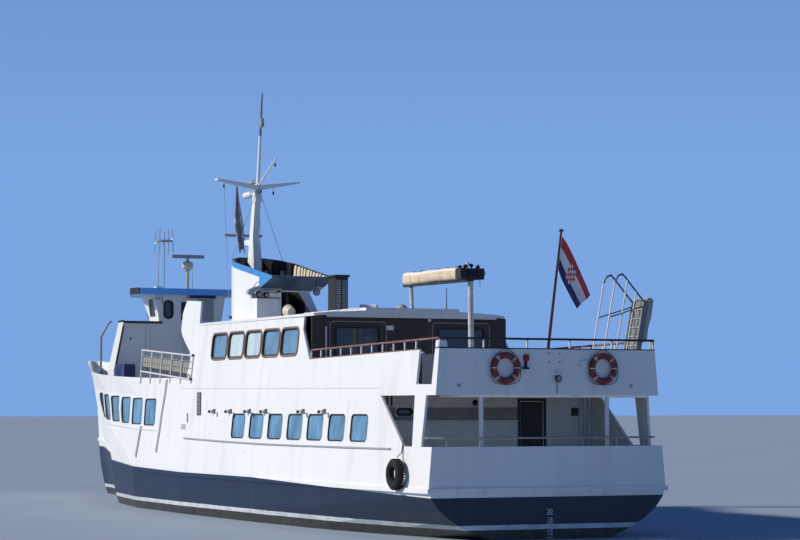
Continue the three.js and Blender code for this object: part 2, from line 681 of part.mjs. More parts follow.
// Port side and stern, round to the starboard gate
function promenadeRail() {
  const { foreX, aftX } = RAIL;
  const corner = sideY(aftX, UPPER_BULWARK_TOP) - 26;
  const stern = rod([aftX, -corner, railTop(aftX)], [aftX, corner, railTop(aftX)], 26, 8);
  const posts = [1, 2, 3, 4].map((i) => post(
    [aftX, -corner + i * corner * 2 / 5, 4200], railTop(aftX)));
  const stub = GATE.x0 - 90;
  return aboveBulwark(join([stern, ...posts, railBar(1, foreX, aftX - 26),
    ...railPosts(1, sidePlaces()), railBar(-1, stub, aftX - 26), ...railPosts(-1, [stub - 18, aftX])]));
}

function starboardRail() {
  const end = GATE.x1 - 20;
  const places = sidePlaces().filter((x) => x > end + 60);
  return aboveBulwark(join([railBar(-1, RAIL.foreX, end), ...railPosts(-1, [...places, end + 18])]));
}

piece('promenade_rail', promenadeRail(), 'rust');
piece('starboard_rail', starboardRail(), 'rust');

// Forward house and wheelhouse

const HOUSE_TOP = 5880;
const BRIDGE_TOP = 6750;
const BRIDGE_ROOF_THICK = 200;

// Rings of a house whose walls lean: plan points, scaled about the centreline
function house(low, high, z0, z1) {
  return loft([low.map(([x, y]) => [x, y, z0]), high.map(([x, y]) => [x, y, z1])]);
}

function mirrored(half) {
  return [...half, ...half.map(([x, y]) => [x, -y]).reverse()];
}

const HOUSE_LOW = mirrored([[7300, 2600], [8200, 2520], [9900, 1700], [10900, 700]]);
const HOUSE_HIGH = mirrored([[7300, 2290], [8050, 2200], [9500, 1450], [10200, 600]]);
const BRIDGE_LOW = mirrored([[7300, 1080], [8150, 1080], [9100, 750], [9500, 350]]);
const BRIDGE_HIGH = mirrored([[7300, 1220], [8700, 1220], [9600, 850], [9900, 400]]);

function inset(outline, by) {
  const cx = (Math.min(...outline.map((p) => p[0])) + Math.max(...outline.map((p) => p[0]))) / 2;
  return outline.map(([x, y]) => [x + Math.sign(cx - x) * by, y - Math.sign(y) * by]);
}

function forwardHouse() {
  const rings = (by, z0, top) => loft([[HOUSE_LOW, z0], [HOUSE_LOW, 4300], [HOUSE_HIGH, top]].map(
    ([outline, z]) => inset(outline, by).map(([x, y]) => [x, y, z])));
  const windows = [-1500, -750, 0, 750, 1500].map((y) => sternSolid(
    roundedRect(y - 260, y + 260, 4900, 5450, 90), 8200, 12000));
  return cut(rings(0, 3300, HOUSE_TOP),
    [rings(PLATE, 3200, HOUSE_TOP - PLATE), belowUpperDeck(), ...windows]);
}

const BRIDGE_DOOR = { y0: -820, y1: -230, z0: 5920, z1: 6620 };

function wheelhouse() {
  const outer = house(BRIDGE_LOW, BRIDGE_HIGH, HOUSE_TOP + GAP, BRIDGE_TOP);
  const inner = house(inset(BRIDGE_LOW, 50), inset(BRIDGE_HIGH, 50), HOUSE_TOP - 10, BRIDGE_TOP + 1);
  const oval = sternSolid(roundedRect(620, 900, 5990, 6540, 120), 7200, 7400);
  const door = sternSolid(roundedRect(
    BRIDGE_DOOR.y0, BRIDGE_DOOR.y1, BRIDGE_DOOR.z0, BRIDGE_DOOR.z1, 60), 7200, 7400);
  const sides = sideSolid(roundedRect(7560, 8120, 6040, 6620, 60), -2000, 2000);
  const fronts = [-700, -235, 235, 700].map((y) => sternSolid(
    roundedRect(y - 190, y + 190, 6080, 6620, 50), 8400, 12000));
  return cut(outer, [inner, oval, door, sides, ...fronts]);
}

function wheelhouseRoof() {
  return planSolid(mirrored([[7080, 1850], [7180, 1910], [7650, 1950], [9500, 1350], [10300, 500]]),
    BRIDGE_TOP + GAP, BRIDGE_TOP + BRIDGE_ROOF_THICK);
}

piece('forward_house', forwardHouse(), 'white');
piece('wheelhouse', wheelhouse(), 'white');
piece('wheelhouse_roof', wheelhouseRoof(), 'azure');
piece('wheelhouse_door', hung(sternSolid(roundedRect(BRIDGE_DOOR.y0 + DOOR_GAP,
  BRIDGE_DOOR.y1 - DOOR_GAP, BRIDGE_DOOR.z0 + DOOR_GAP, BRIDGE_DOOR.z1 - DOOR_GAP, 60),
FORWARD_HOUSE_X, FORWARD_HOUSE_X + 45), FORWARD_HOUSE_X, BRIDGE_DOOR.y1 - DOOR_GAP, [6040, 6450]),
'grey');

// Funnel with its open top and after wing, and the mast that stands in it

const FUNNEL_BASE = SALOON_ROOF_Z + ROOF_THICK + CAMBER + 4;

function funnel() {
  const wall = 50;
  const bullet = (back, out) => mirrored([[back, 970 - out], [600, 1000 - out], [1350, 800 - out],
    [1880 - out, 380 - out * 0.6]]);
  const profile = [[1950, FUNNEL_BASE - 400], [1950, 7690], [-2420, 6880], [-2420, 6830],
    [-1260, 6500], [-1260, FUNNEL_BASE - 400]];
  const hollow = [[1900, 5000], [1900, 8500], [-2360, 8500], [-2360, 6890], [-1210, 6560],
    [-1210, 5000]];
  const outer = planSolid(bullet(-2420, 0), 5000, 8500).intersect(sideSolid(profile, -2000, 2000));
  const inner = planSolid(bullet(-2370, wall), 5000, 8500).intersect(sideSolid(hollow, -2000, 2000));
  const recess = block(-1400, -1100, -750, 210, 5000, 6480);
  const rake = sideSolid([[-1400, 5700], [-420, 6600], [-1400, 6600]], -1200, -740);
  return cut(outer, [inner, belowSaloonRoof(), recess, rake]);
}

function exhausts() {
  const pipes = [-260, 260].map((y) => rod([-450, y, FUNNEL_BASE - 80], [-300, y, 7150], 110, 10));
  const flange = block(-620, -280, -420, 420, FUNNEL_BASE - 80, FUNNEL_BASE + 40);
  return join([...pipes, flange]).subtract(belowSaloonRoof());
}

// Sections of the lower mast: height, place, half length and half width
const MAST_ROWS = [
  { z: 5600, x: 1430, long: 300, wide: 150 },
  { z: 7500, x: 1480, long: 260, wide: 130 },
  { z: 8300, x: 1520, long: 150, wide: 100 },
  { z: 9500, x: 1330, long: 120, wide: 90 },
  { z: 9900, x: 1230, long: 90, wide: 70 },
];

const MAST_RADAR = { x: 2500, z: 8300 }; // top of its pedestal, on a bracket before the mast

function mast() {
  const lower = loft(MAST_ROWS.map(({ z, x, long, wide }) => [
    [x - long, -wide, z], [x + long, -wide, z], [x + long, wide, z], [x - long, wide, z]]))
    .subtract(belowSaloonRoof());
  const upper = rod([1230, 0, 9800], [900, 0, 12650], 62, 8, 28);
  const half = [[0, 9700], [1350, 9960], [1350, 10010], [0, 9850]];
  const yard = join([half, half.map(([y, z]) => [-y, z]).reverse()].map(
    (outline) => sternSolid(outline, 1130, 1370)));
  const gaff = rod([1150, 0, 9850], [-250, 0, 10550], 28, 8, 18);
  const { x, z } = MAST_RADAR;
  const bracket = sideSolid([[1500, z - 330], [x + 90, z - 130], [x + 90, z - 80], [1500, z - 80]],
    -60, 60);
  const pedestal = rod([x, 0, z - 100], [x, 0, z], 85, 12);
  return join([lower, upper, yard, gaff, bracket, pedestal]);
}

function mastRadarScanner() {
  const { x, z } = MAST_RADAR;
  return block(x - 70, x + 70, -625, 625, z + 50, z + 130).add(
    rod([x, 0, z + GAP], [x, 0, z + 70], 60, 12));
}

piece('funnel', funnel(), 'white');
piece('mast', mast(), 'white');
piece('mast_radar_scanner', mastRadarScanner(), 'grey');
piece('exhaust_pipes', exhausts(), 'black');

// On the saloon roof

const ROOF_TOP = SALOON_ROOF_Z + ROOF_THICK + CAMBER + GAP; // crown of the saloon roof

// Height of the saloon roof at a distance from the centreline
function roofTop(y) {
  return ROOF_TOP - CAMBER * (y / ROOF_HALF) ** 2;
}

function ventilatorBox() {
  const body = block(-5000, -4450, -320, 60, ROOF_TOP - 60, 6760);
  const cap = block(-5040, -4410, -360, 100, 6740, 6790);
  const slots = Array.from({ length: 9 }, (_, i) => {
    const z = 5900 + i * 88;
    return block(-5100, -4970, -270, 10, z, z + 44);
  });
  return cut(body.add(cap), [...slots, belowSaloonRoof()]);
}

const COWL = { x: -3960, y: 1000 };
const MUSHROOM = { x: -5880, y: 500 };

function cowlVent() {
  const z = roofTop(COWL.y);
  const pipe = rod([COWL.x, COWL.y, z - 60], [COWL.x, COWL.y, z + 100], 95, 12);
  const mouth = rod([COWL.x - 60, COWL.y, z + 170], [COWL.x + 190, COWL.y, z + 210], 120, 12, 190);
  const throat = rod([COWL.x + 120, COWL.y, z + 198], [COWL.x + 240, COWL.y, z + 218], 110, 12, 165);
  return cut(join([pipe, mouth]), [throat, belowSaloonRoof()]);
}

function mushroomVent() {
  return turned([[0, -60], [65, -60], [65, 45], [130, 52], [130, 78], [70, 118], [0, 128]],
    [MUSHROOM.x, MUSHROOM.y, roofTop(MUSHROOM.y)], 12).subtract(belowSaloonRoof());
}

piece('ventilator_box', ventilatorBox(), 'black');
piece('cowl_vent', cowlVent(), 'cream');
piece('mushroom_vent', mushroomVent(), 'white');

// Rolled awning over the after promenade, on its two posts

const AWNING = { x0: -12900, x1: -9420, z: 6440, rise: 30, radius: 165 };

// The boom rises forward with the roll; its top runs a little way into the roll's underside
function awningBoom(grow, depth) {
  const top = (x) => AWNING.z - AWNING.radius + 15 + grow
    + AWNING.rise * (x - AWNING.x0) / (AWNING.x1 - AWNING.x0);
  return sideSolid([[-13560, top(-13560) - depth], [-9500, top(-9500) - depth], [-9500, top(-9500)],
    [-13560, top(-13560)]], -40 - grow, 40 + grow);
}

function awningFrame() {
  const fore = rod([-9980, 0, COAMING_TOP - 10], [-9920, 0, 6260], 55, 10)
    .subtract(block(-11000, -9000, -300, 300, 5000, COAMING_TOP + GAP));
  const aft = rod([-13500, 0, UPPER_DECK_TOP - 30], [-13440, 0, 6520], 70, 12)
    .subtract(belowUpperDeck());
  const crosshead = block(-13560, -13260, -330, 330, AWNING.z - 190, AWNING.z + 90);
  return join([fore, aft, awningBoom(0, 85), crosshead]);
}

function awningRoll() {
  return rod([AWNING.x1, 0, AWNING.z + AWNING.rise], [AWNING.x0, 0, AWNING.z], AWNING.radius, 12)
    .subtract(awningBoom(GAP, 400));
}

piece('awning_frame', awningFrame(), 'steel');
piece('awning_roll', awningRoll(), 'cream');

// Aids on the wheelhouse roof

const BRIDGE_ROOF_TOP = BRIDGE_TOP + BRIDGE_ROOF_THICK;

function radarPedestal() {
  const x = 7600;
  const pole = rod([x, 0, BRIDGE_ROOF_TOP + GAP], [x, 0, 7620], 55, 10);
  const head = turned([[0, 0], [90, 0], [190, 130], [190, 260], [60, 330], [0, 330]],
    [x, 0, 7560], 12);
  return pole.add(head);
}

function radarScanner() {
  const x = 7600;
  const bar = block(x - 70, x + 70, -560, 560, 7980, 8090);
  return bar.add(rod([x, 0, 7890 + GAP], [x, 0, 8000], 45, 10));
}

function loopAntenna() {
  const x = 9100;
  const y = 300;
  const pole = rod([x, y, BRIDGE_ROOF_TOP + GAP], [x, y, 8950], 22, 6);
  const hub = turned([[0, -30], [300, -20], [300, 20], [0, 30]], [x, y, 8640], 12);
  const arms = [0, 1, 2, 3].map((i) => {
    const turn = i * Math.PI / 2 + Math.PI / 4;
    const out = (r, z) => [x + r * Math.cos(turn), y + r * Math.sin(turn), z];
    return railing([out(300, 9050), out(330, 8720), out(270, 8640), out(330, 8560),
      out(340, 8250)], 14, 4);
  });
  return join([pole, hub, ...arms]);
}

piece('radar_pedestal', radarPedestal(), 'cream');
piece('radar_scanner', radarScanner(), 'grey');
piece('loop_antenna', loopAntenna(), 'steel');

// Flagstaff with its ensign, and the pennant at the mast

const STAFF = { foot: [STERN_X + 410, -60, 3440], head: [STERN_X - 500, -60, 7150] };

function flagstaff() {
  const staff = rod(STAFF.foot, STAFF.head, 42, 12, 26).subtract(belowUpperDeck());
  return staff.add(turned([[0, -20], [55, -10], [60, 25], [0, 60]], STAFF.head, 10));
}

// The cloth hangs in a plate that leans with the staff
function flag() {
  const y = STAFF.foot[1] - 20;
  const plate = extrude([[y, 7050], [y, 6350], [y - 350, 5700], [y - 780, 5350], [y - 860, 5500],
    [y - 480, 6400]], 120);
  const rake = (STAFF.head[0] - STAFF.foot[0]) / (STAFF.head[2] - STAFF.foot[2]);
  const start = STAFF.foot[0] - rake * STAFF.foot[2] - 60;
  plate.applyMatrix4(new THREE.Matrix4().set(
    0, rake, 1, start, 1, 0, 0, 0, 0, 1, 0, 0, 0, 0, 0, 1));
  return toSolid(plate).subtract(rod(STAFF.foot, STAFF.head, 42 + GAP, 12, 26 + GAP));
}

piece('flagstaff', flagstaff(), 'wood');
piece('ensign', flag(), 'red');

// Lifebuoys on the stern

const BUOY = { radius: 300, thick: 75, z: 3970 };

function lifebuoy(y) {
  const ring = new THREE.TorusGeometry(BUOY.radius, BUOY.thick, 10, 24);
  ring.rotateY(Math.PI / 2);
  ring.translate(STERN_X - BUOY.thick * Math.cos(Math.PI / 10) - GAP, y, BUOY.z);
  return toSolid(ring);
}

piece('lifebuoy_port', lifebuoy(1180), 'red');
piece('lifebuoy_starboard', lifebuoy(-1400), 'red');

// Gate leaf in the port bulwark, swung inboard on its forward edge

function gateLeaf() {
  const { x, y, pin, low, high } = GATE_HINGE;
  const leaf = block(x - 20, x + 20, y - 760, y, low + GAP, high - 12);
  return leaf.add(rod([x, y, low - 30], [x, y, high + 28], pin, 16));
}

piece('gate_leaf', gateLeaf(), 'grey');

// Gangway at the starboard gate, hinged on the deck and stowed upright, leaning outboard

const GANGWAY = { x0: -17280, x1: -16680, y: -2470, z: 3700, length: 1950, lean: 11, pin: 30 };

// Built upright on the origin: y is the distance inboard of the tread, z runs along it
function gangway() {
  const { x0, x1, y, z, length, lean, pin } = GANGWAY;
  const tread = block(x0 + 45, x1 - 45, -50, 10, -40, length);
  const strings = [x0, x1 - 50].map((x) => block(x, x + 50, -50, 90, -40, length));
  const rails = [x0 + 25, x1 - 25].map((x) => railing([[x, 40, 120], [x, 930, 300], [x, 940, 2200],
    [x, 880, 2380], [x, 780, 2440], [x, 680, 2380], [x, 40, length - 60]], 22, 6));
  const braces = [x0 + 25, x1 - 25].map((x) => rod([x, 940, 1350], [x, 40, length - 130], 16, 5));
  const bar = rod([x0 - 60, 0, 0], [x1 + 60, 0, 0], pin, 16);
  return join([tread, ...strings, ...rails, ...braces, bar])
    .rotate([lean, 0, 0]).translate([0, y, z]);
}

function gangwayBracket() {
  const { x0, x1, y, z } = GANGWAY;
  const low = UPPER_DECK_TOP + GAP;
  const cheeks = [x0 - 62, x1 + 12].map((x) => block(x, x + 50, y - 90, y + 90, low, z + 80));
  const plate = block(x0 - 62, x1 + 62, y - 90, y + 300, low, low + 30);
  const bore = rod([x0 - 200, y, z], [x1 + 200, y, z], GANGWAY.pin + 0.9, 16);
  return join([...cheeks, plate]).subtract(bore);
}

piece('gangway', gangway(), 'grey');
piece('gangway_bracket', gangwayBracket(), 'grey');

// Well deck: boarded side rails and the stairs to the wheelhouse

// The rails lie against the outside of the bulwark: their ends along the ship, and the heights of
// the upper and the lower rail at each end
const WELL_RAIL = { x0: -1330, x1: 3310, spaces: 5, top: [4560, 4830], low: [3870, 4180],
  foot: [3760, 3800], radius: 26 };

function boardedRail(side) {
  const { x0, x1, spaces, top, low, foot, radius } = WELL_RAIL;
  const at = (x, [z0, z1]) => {
    const z = z0 + (z1 - z0) * (x - x0) / (x1 - x0);
    return [x, side * (sideY(x, z - sheer(x)) + radius * 0.9), z];
  };
  const places = Array.from({ length: spaces + 1 }, (_, i) => x0 + (x1 - x0) * i / spaces);
  const rails = [top, low].map((line) => railing(places.map((x) => at(x, line)), radius, 8));
  const posts = places.map((x) => rod(at(x, foot), at(x, top), 20, 6));
  return join([...rails, ...posts]).subtract(slice(UPPER_DECK_Z - 200, FIN_TOP, -GAP));
}

function bridgeStairs() {
  const run = [[5700, 3400], [5950, 3400], [7290, 5780], [7290, 5870], [7090, 5870]];
  const rise = sideSolid(run, -860, -190);
  const well = sideSolid(run, -830, -220);
  const steps = Array.from({ length: 10 }, (_, i) => {
    const part = (i + 0.7) / 10.4;
    const x = 5800 + (7150 - 5800) * part;
    const z = 3480 + (5830 - 3480) * part;
    return block(x - 90, x + 130, -860, -190, z, z + 30);
  });
  return join([rise.subtract(well), ...steps]).subtract(belowUpperDeck())
    .subtract(block(7299, 8000, -2000, 2000, 3000, 7000));
}

piece('well_rail_port', boardedRail(1), 'white');
piece('well_rail_starboard', boardedRail(-1), 'white');
piece('bridge_stairs', bridgeStairs(), 'grey');

// Foredeck: davit, windlass, anchors, bollards and the hatch

function foredeck(x, above = 0) {
  return UPPER_DECK_TOP + sheer(x) + above;
}

const DAVIT = { x: 14450, y: 790 };

function bowDavit() {
  const z = foredeck(DAVIT.x, 61 + GAP);
  return railing([[DAVIT.x, DAVIT.y, z], [DAVIT.x, DAVIT.y, 5560], [DAVIT.x - 950, DAVIT.y, 6060],
    [DAVIT.x - 1080, DAVIT.y, 6060]], 42, 10);
}

function davitStep() {
  const z = foredeck(DAVIT.x);
  const boss = rod([DAVIT.x, DAVIT.y, z - 140], [DAVIT.x, DAVIT.y, z + 240], 95, 12);
  const socket = rod([DAVIT.x, DAVIT.y, z + 61], [DAVIT.x, DAVIT.y, z + 300], 43.2, 16);
  return boss.subtract(socket).subtract(belowUpperDeck());
}

const WINDLASS = { x: 13200, z: 430 };

function windlassBed() {
  const z = foredeck(WINDLASS.x);
  const bed = block(WINDLASS.x - 380, WINDLASS.x + 380, -420, 420, z - 140, z + 90);
  const cheeks = [-330, 330].map((y) => block(WINDLASS.x - 130, WINDLASS.x + 130, y - 40, y + 40,
    z + 60, z + 580));
  const bore = rod([WINDLASS.x, -600, z + WINDLASS.z], [WINDLASS.x, 600, z + WINDLASS.z], BORE_RADIUS,
    BEARING_SIDES);
  return cut(join([bed, ...cheeks]), [bore, belowUpperDeck()]);
}

function windlassDrum() {
  const z = foredeck(WINDLASS.x) + WINDLASS.z;
  const shaft = rod([WINDLASS.x, -640, z], [WINDLASS.x, 640, z], SHAFT_RADIUS, BEARING_SIDES);
  const parts = [[-640, -400], [-270, 270], [400, 640]].map(([y0, y1]) => rod(
    [WINDLASS.x, y0, z], [WINDLASS.x, y1, z], 150, 12));
  const rims = [-640, -430, -270, 240, 400, 610].map((y) => rod(
    [WINDLASS.x, y, z], [WINDLASS.x, y + 30, z], 215, 12));
  return join([shaft, ...parts, ...rims]);
}

function bollards(x) {
  const z = foredeck(x);
  const posts = [-160, 160].flatMap((dx) => [rod([x + dx, 0, z], [x + dx, 0, z + 340], 75, 12),
    rod([x + dx, 0, z + 300], [x + dx, 0, z + 350], 100, 12)]);
  const base = block(x - 320, x + 320, -130, 130, z - 140, z + 30);
  return join([base, ...posts]).subtract(belowUpperDeck());
}

const HATCH = { x0: 11350, x1: 12250, half: 450 };

function hatchCoaming() {
  const z = foredeck(HATCH.x0);
  const outer = block(HATCH.x0, HATCH.x1, -HATCH.half, HATCH.half, z - 100, z + 300);
  const inner = block(HATCH.x0 + 40, HATCH.x1 - 40, -HATCH.half + 40, HATCH.half - 40,
    z - 200, z + 400);
  return cut(outer, [inner, belowUpperDeck()]);
}

function hatchLid() {
  const z = foredeck(HATCH.x0) + 300 + GAP;
  return block(HATCH.x0 - 20, HATCH.x1 + 20, -HATCH.half - 20, HATCH.half + 20, z, z + 60);
}

piece('bow_davit', bowDavit(), 'grey');
piece('davit_step', davitStep(), 'grey');
piece('windlass_bed', windlassBed(), 'black');
piece('windlass_drum', windlassDrum(), 'grey');
piece('fore_bollards', bollards(14500), 'black');
piece('hatch_coaming', hatchCoaming(), 'white');
piece('hatch_lid', hatchLid(), 'white');

// Tyre fender at the port quarter, and the benches on the after deck

function tyreFender() {
  const tyre = new THREE.TorusGeometry(270, 100, 10, 24);
  tyre.rotateX(Math.PI / 2);
  tyre.translate(-16150, sideY(-16150, MAIN_DECK_Z) + BELT + 95.8, 1500);
  return toSolid(tyre);
}

function afterBenches() {
  const z = MAIN_DECK_TOP + GAP;
  const seats = [-1, 1].map((side) => block(-17200, -14500, side * 2500 - 300, side * 2500 + 300,
    z, z + 420));
  const stern = block(-17300, -16900, -2600, 2600, z, z + 420);
  return join([...seats, stern]);
}

piece('tyre_fender', tyreFender(), 'rubber');
piece('after_benches', afterBenches(), 'cream');

export default ferry;
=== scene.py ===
"""Looks of the passenger ferry: glass, frames, trim, cloth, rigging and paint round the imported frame."""

import math

import bmesh
import bpy
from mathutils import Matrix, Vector


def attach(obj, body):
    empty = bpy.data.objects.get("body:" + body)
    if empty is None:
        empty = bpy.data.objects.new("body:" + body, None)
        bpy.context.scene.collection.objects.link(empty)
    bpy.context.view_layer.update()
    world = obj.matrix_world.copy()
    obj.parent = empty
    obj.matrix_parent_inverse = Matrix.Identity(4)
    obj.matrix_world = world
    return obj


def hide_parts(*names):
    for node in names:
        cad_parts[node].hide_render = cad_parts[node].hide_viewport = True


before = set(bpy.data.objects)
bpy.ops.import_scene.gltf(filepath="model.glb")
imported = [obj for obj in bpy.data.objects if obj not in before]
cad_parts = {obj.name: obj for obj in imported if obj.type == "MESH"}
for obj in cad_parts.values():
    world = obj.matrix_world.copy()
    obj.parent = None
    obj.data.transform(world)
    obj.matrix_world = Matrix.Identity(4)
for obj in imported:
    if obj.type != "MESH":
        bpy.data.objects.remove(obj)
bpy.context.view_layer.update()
SHIP = "ship"
ASTERN, AHEAD, UP, DOWN = (-1, 0, 0), (1, 0, 0), (0, 0, 1), (0, 0, -1)

# Sizes of the hull, in metres, as in the solids
STERN_X = -17.6
MAIN_DECK_Z = 1.2
UPPER_DECK_Z = 3.4
UPPER_FLOOR_Z = 3.46
STATIONS = [(-17.6, 3.12, 2.935), (-16.3, 3.165, 2.975), (-14.5, 3.22, 3.015), (-11.5, 3.275, 3.05),
            (-7.0, 3.3, 3.075), (-1.0, 3.3, 3.08), (3.5, 3.18, 3.04), (7.3, 2.65, 2.85),
            (10.3, 1.68, 2.23), (12.8, 1.0, 1.36), (14.8, 0.48, 0.67), (16.1, 0.16, 0.24)]

# Faces that carry fittings, in metres
BULKHEAD_X = -14.45      # after wall of the main saloon
SALOON_WALL_X = -9.9     # after wall of the upper saloon
HOUSE_WALL_X = 7.3       # after wall of the forward house and of the wheelhouse
LOUVRE_X = -5.0          # after face of the louvred box
BLOCK_X = -1.262         # after face of the block under the funnel's wing
COAMING_Z = 5.659        # top of the coaming on the saloon roof
BRIDGE_ROOF_Z = 6.9495   # top of the wheelhouse roof
BUOY_YS, BUOY_Z = (1.18, -1.40), 3.97
TYRE_X, TYRE_Z = -16.15, 1.5
GANGWAY_Y, GANGWAY_Z, GANGWAY_LEAN = -2.47, 3.7, math.radians(11)
WELL_RAIL_X = (-1.33, 3.31)
STAFF_FOOT, STAFF_HEAD = Vector((-17.19, -0.06, 3.44)), Vector((-18.10, -0.06, 7.15))
PENNANT_TOP = (1.24, 0.68, 9.80)
FUNNEL_AFT_X, FUNNEL_AFT_Z, FUNNEL_RISE = -2.42, 6.88, 0.1854

# Borders between two paints: heights in metres, or a slope along x and the height where x is 0
BOOT_STRIPE_Z = (0.235, 0.345)
NAVY_TOP = (0.0205, 1.345)
AZURE_BAND = (FUNNEL_RISE, 7.1537)
RAIL_BAR, RAIL_BAR_HALF = (-0.01617, 4.3659), 0.034
MAST_WHITE_TOP_Z = 11.35
AWNING_POST_TOP_Z = 6.2


def sheer(x):
    return 0.9 * max(0.0, (x + 2.0) / 20.2) ** 2


def stem_share(x, height):
    """How far a station is carried forward at a height by the rake of the stem."""
    part = min(1.0, max(0.0, (x - 8.0) / 8.9))
    above = max(0.0, height - MAIN_DECK_Z) / 1.1
    low, high = (0.2057 * n * n for n in (math.floor(above), math.floor(above) + 1))
    return part * part * (3 - 2 * part) * (low + (high - low) * (above % 1.0))


def side_y(x, z):
    """Half breadth of the plating at a place, between the two stations round it."""
    for (x0, main0, upper0), (x1, main1, upper1) in zip(STATIONS, STATIONS[1:]):
        part = (x - x0) / (x1 - x0)
        for _ in range(3):
            height = z - sheer(x0) - (sheer(x1) - sheer(x0)) * part
            start, end = x0 + stem_share(x0, height), x1 + stem_share(x1, height)
            part = (x - start) / (end - start)
        if part <= 1.0:
            break
    main, upper = main0 + (main1 - main0) * part, upper0 + (upper1 - upper0) * part
    return main + (upper - main) * (height - MAIN_DECK_Z) / (UPPER_DECK_Z - MAIN_DECK_Z)


# Camera, light and floor

FOCAL_PX, PICTURE_WIDTH_PX, PICTURE_MIDDLE_PX, HORIZON_PX = 2407, 800, 270, 409
SENSOR_MM = 36.0
CAMERA_PLACE = (-67.32, 26.60, 3.02)
CAMERA_HEADING = math.radians(24.6)
TO_SUN = Vector((0.30, 0.80, 0.50))
SKY_LOW, SKY_HIGH = (0.20, 0.38, 0.76, 1.0), (0.032, 0.078, 0.22, 1.0)


def place_object(name, data):
    obj = bpy.data.objects.new(name, data)
    bpy.context.scene.collection.objects.link(obj)
    return obj


def aim(obj, direction):
    obj.rotation_mode = "QUATERNION"
    obj.rotation_quaternion = direction.to_track_quat("-Z", "Y")


def make_camera():
    data = bpy.data.cameras.new("camera")
    data.sensor_width = SENSOR_MM
    data.lens = FOCAL_PX / PICTURE_WIDTH_PX * SENSOR_MM
    data.clip_end = 2000.0
    rise = math.atan((HORIZON_PX - PICTURE_MIDDLE_PX) / FOCAL_PX)
    level = math.cos(rise)
    camera = place_object("camera", data)
    camera.location = CAMERA_PLACE
    ahead, across = math.cos(CAMERA_HEADING) * level, -math.sin(CAMERA_HEADING) * level
    aim(camera, Vector((ahead, across, math.sin(rise))))
    bpy.context.scene.camera = camera


def make_light():
    data = bpy.data.lights.new("sun", "SUN")
    data.energy = 3.75
    data.angle = math.radians(4)
    data.color = (1.0, 0.955, 0.875)
    aim(place_object("sun", data), -TO_SUN)
    world = bpy.data.worlds.new("studio")
    world.use_nodes = True
    tree = world.node_tree
    place, split, ramp = (tree.nodes.new(kind) for kind in
                          ("ShaderNodeTexCoord", "ShaderNodeSeparateXYZ", "ShaderNodeValToRGB"))
    tree.links.new(place.outputs["Generated"], split.inputs[0])
    tree.links.new(split.outputs[2], ramp.inputs[0])
    tree.links.new(ramp.outputs[0], tree.nodes["Background"].inputs["Color"])
    for element, height, colour in zip(ramp.color_ramp.elements, (0.10, 0.42), (SKY_LOW, SKY_HIGH)):
        element.position = height
        element.color = colour
    bpy.context.scene.world = world
    bpy.context.scene.view_settings.view_transform = "Standard"


def floor():
    """A plain pale floor at the waterline."""
    size = 900.0
    mesh = bpy.data.meshes.new("studio_floor")
    mesh.from_pydata([(x, y, 0) for x, y in rect(-size, size, -size, size)], [], [(0, 1, 2, 3)])
    paint = Paint("studio_floor_grey", 0.9)
    tone = paint.blotched((0.31, 0.37, 0.45), (0.34, 0.40, 0.48), 0.2, 3, 0.3, 0.7)
    mesh.materials.append(paint.finished(tone))
    obj = place_object("studio_floor", mesh)


# Materials

class Value:
    """An output in a material's node graph, with sums, comparisons, and (&) and or (|)."""

    def __init__(self, paint, socket):
        self.paint = paint
        self.socket = socket

    def __add__(self, other):
        return self.paint.math("ADD", self, other)

    def __sub__(self, other):
        return self.paint.math("SUBTRACT", self, other)

    def __mul__(self, other):
        return self.paint.math("MULTIPLY", self, other)

    def __and__(self, other):
        return self * other

    def __or__(self, other):
        return self.paint.math("MAXIMUM", self, other)

    def __gt__(self, limit):
        return self.paint.math("GREATER_THAN", self, limit)

    def __lt__(self, limit):
        return self.paint.math("LESS_THAN", self, limit)

    def line(self, slope, start):
        return self.paint.math("MULTIPLY_ADD", self, slope, start)

    def between(self, low, high, to_low=0.0, to_high=1.0):
        return self.paint.node("ShaderNodeMapRange", {"Value": self, "From Min": low, "From Max": high,
                                                      "To Min": to_low, "To Max": to_high})


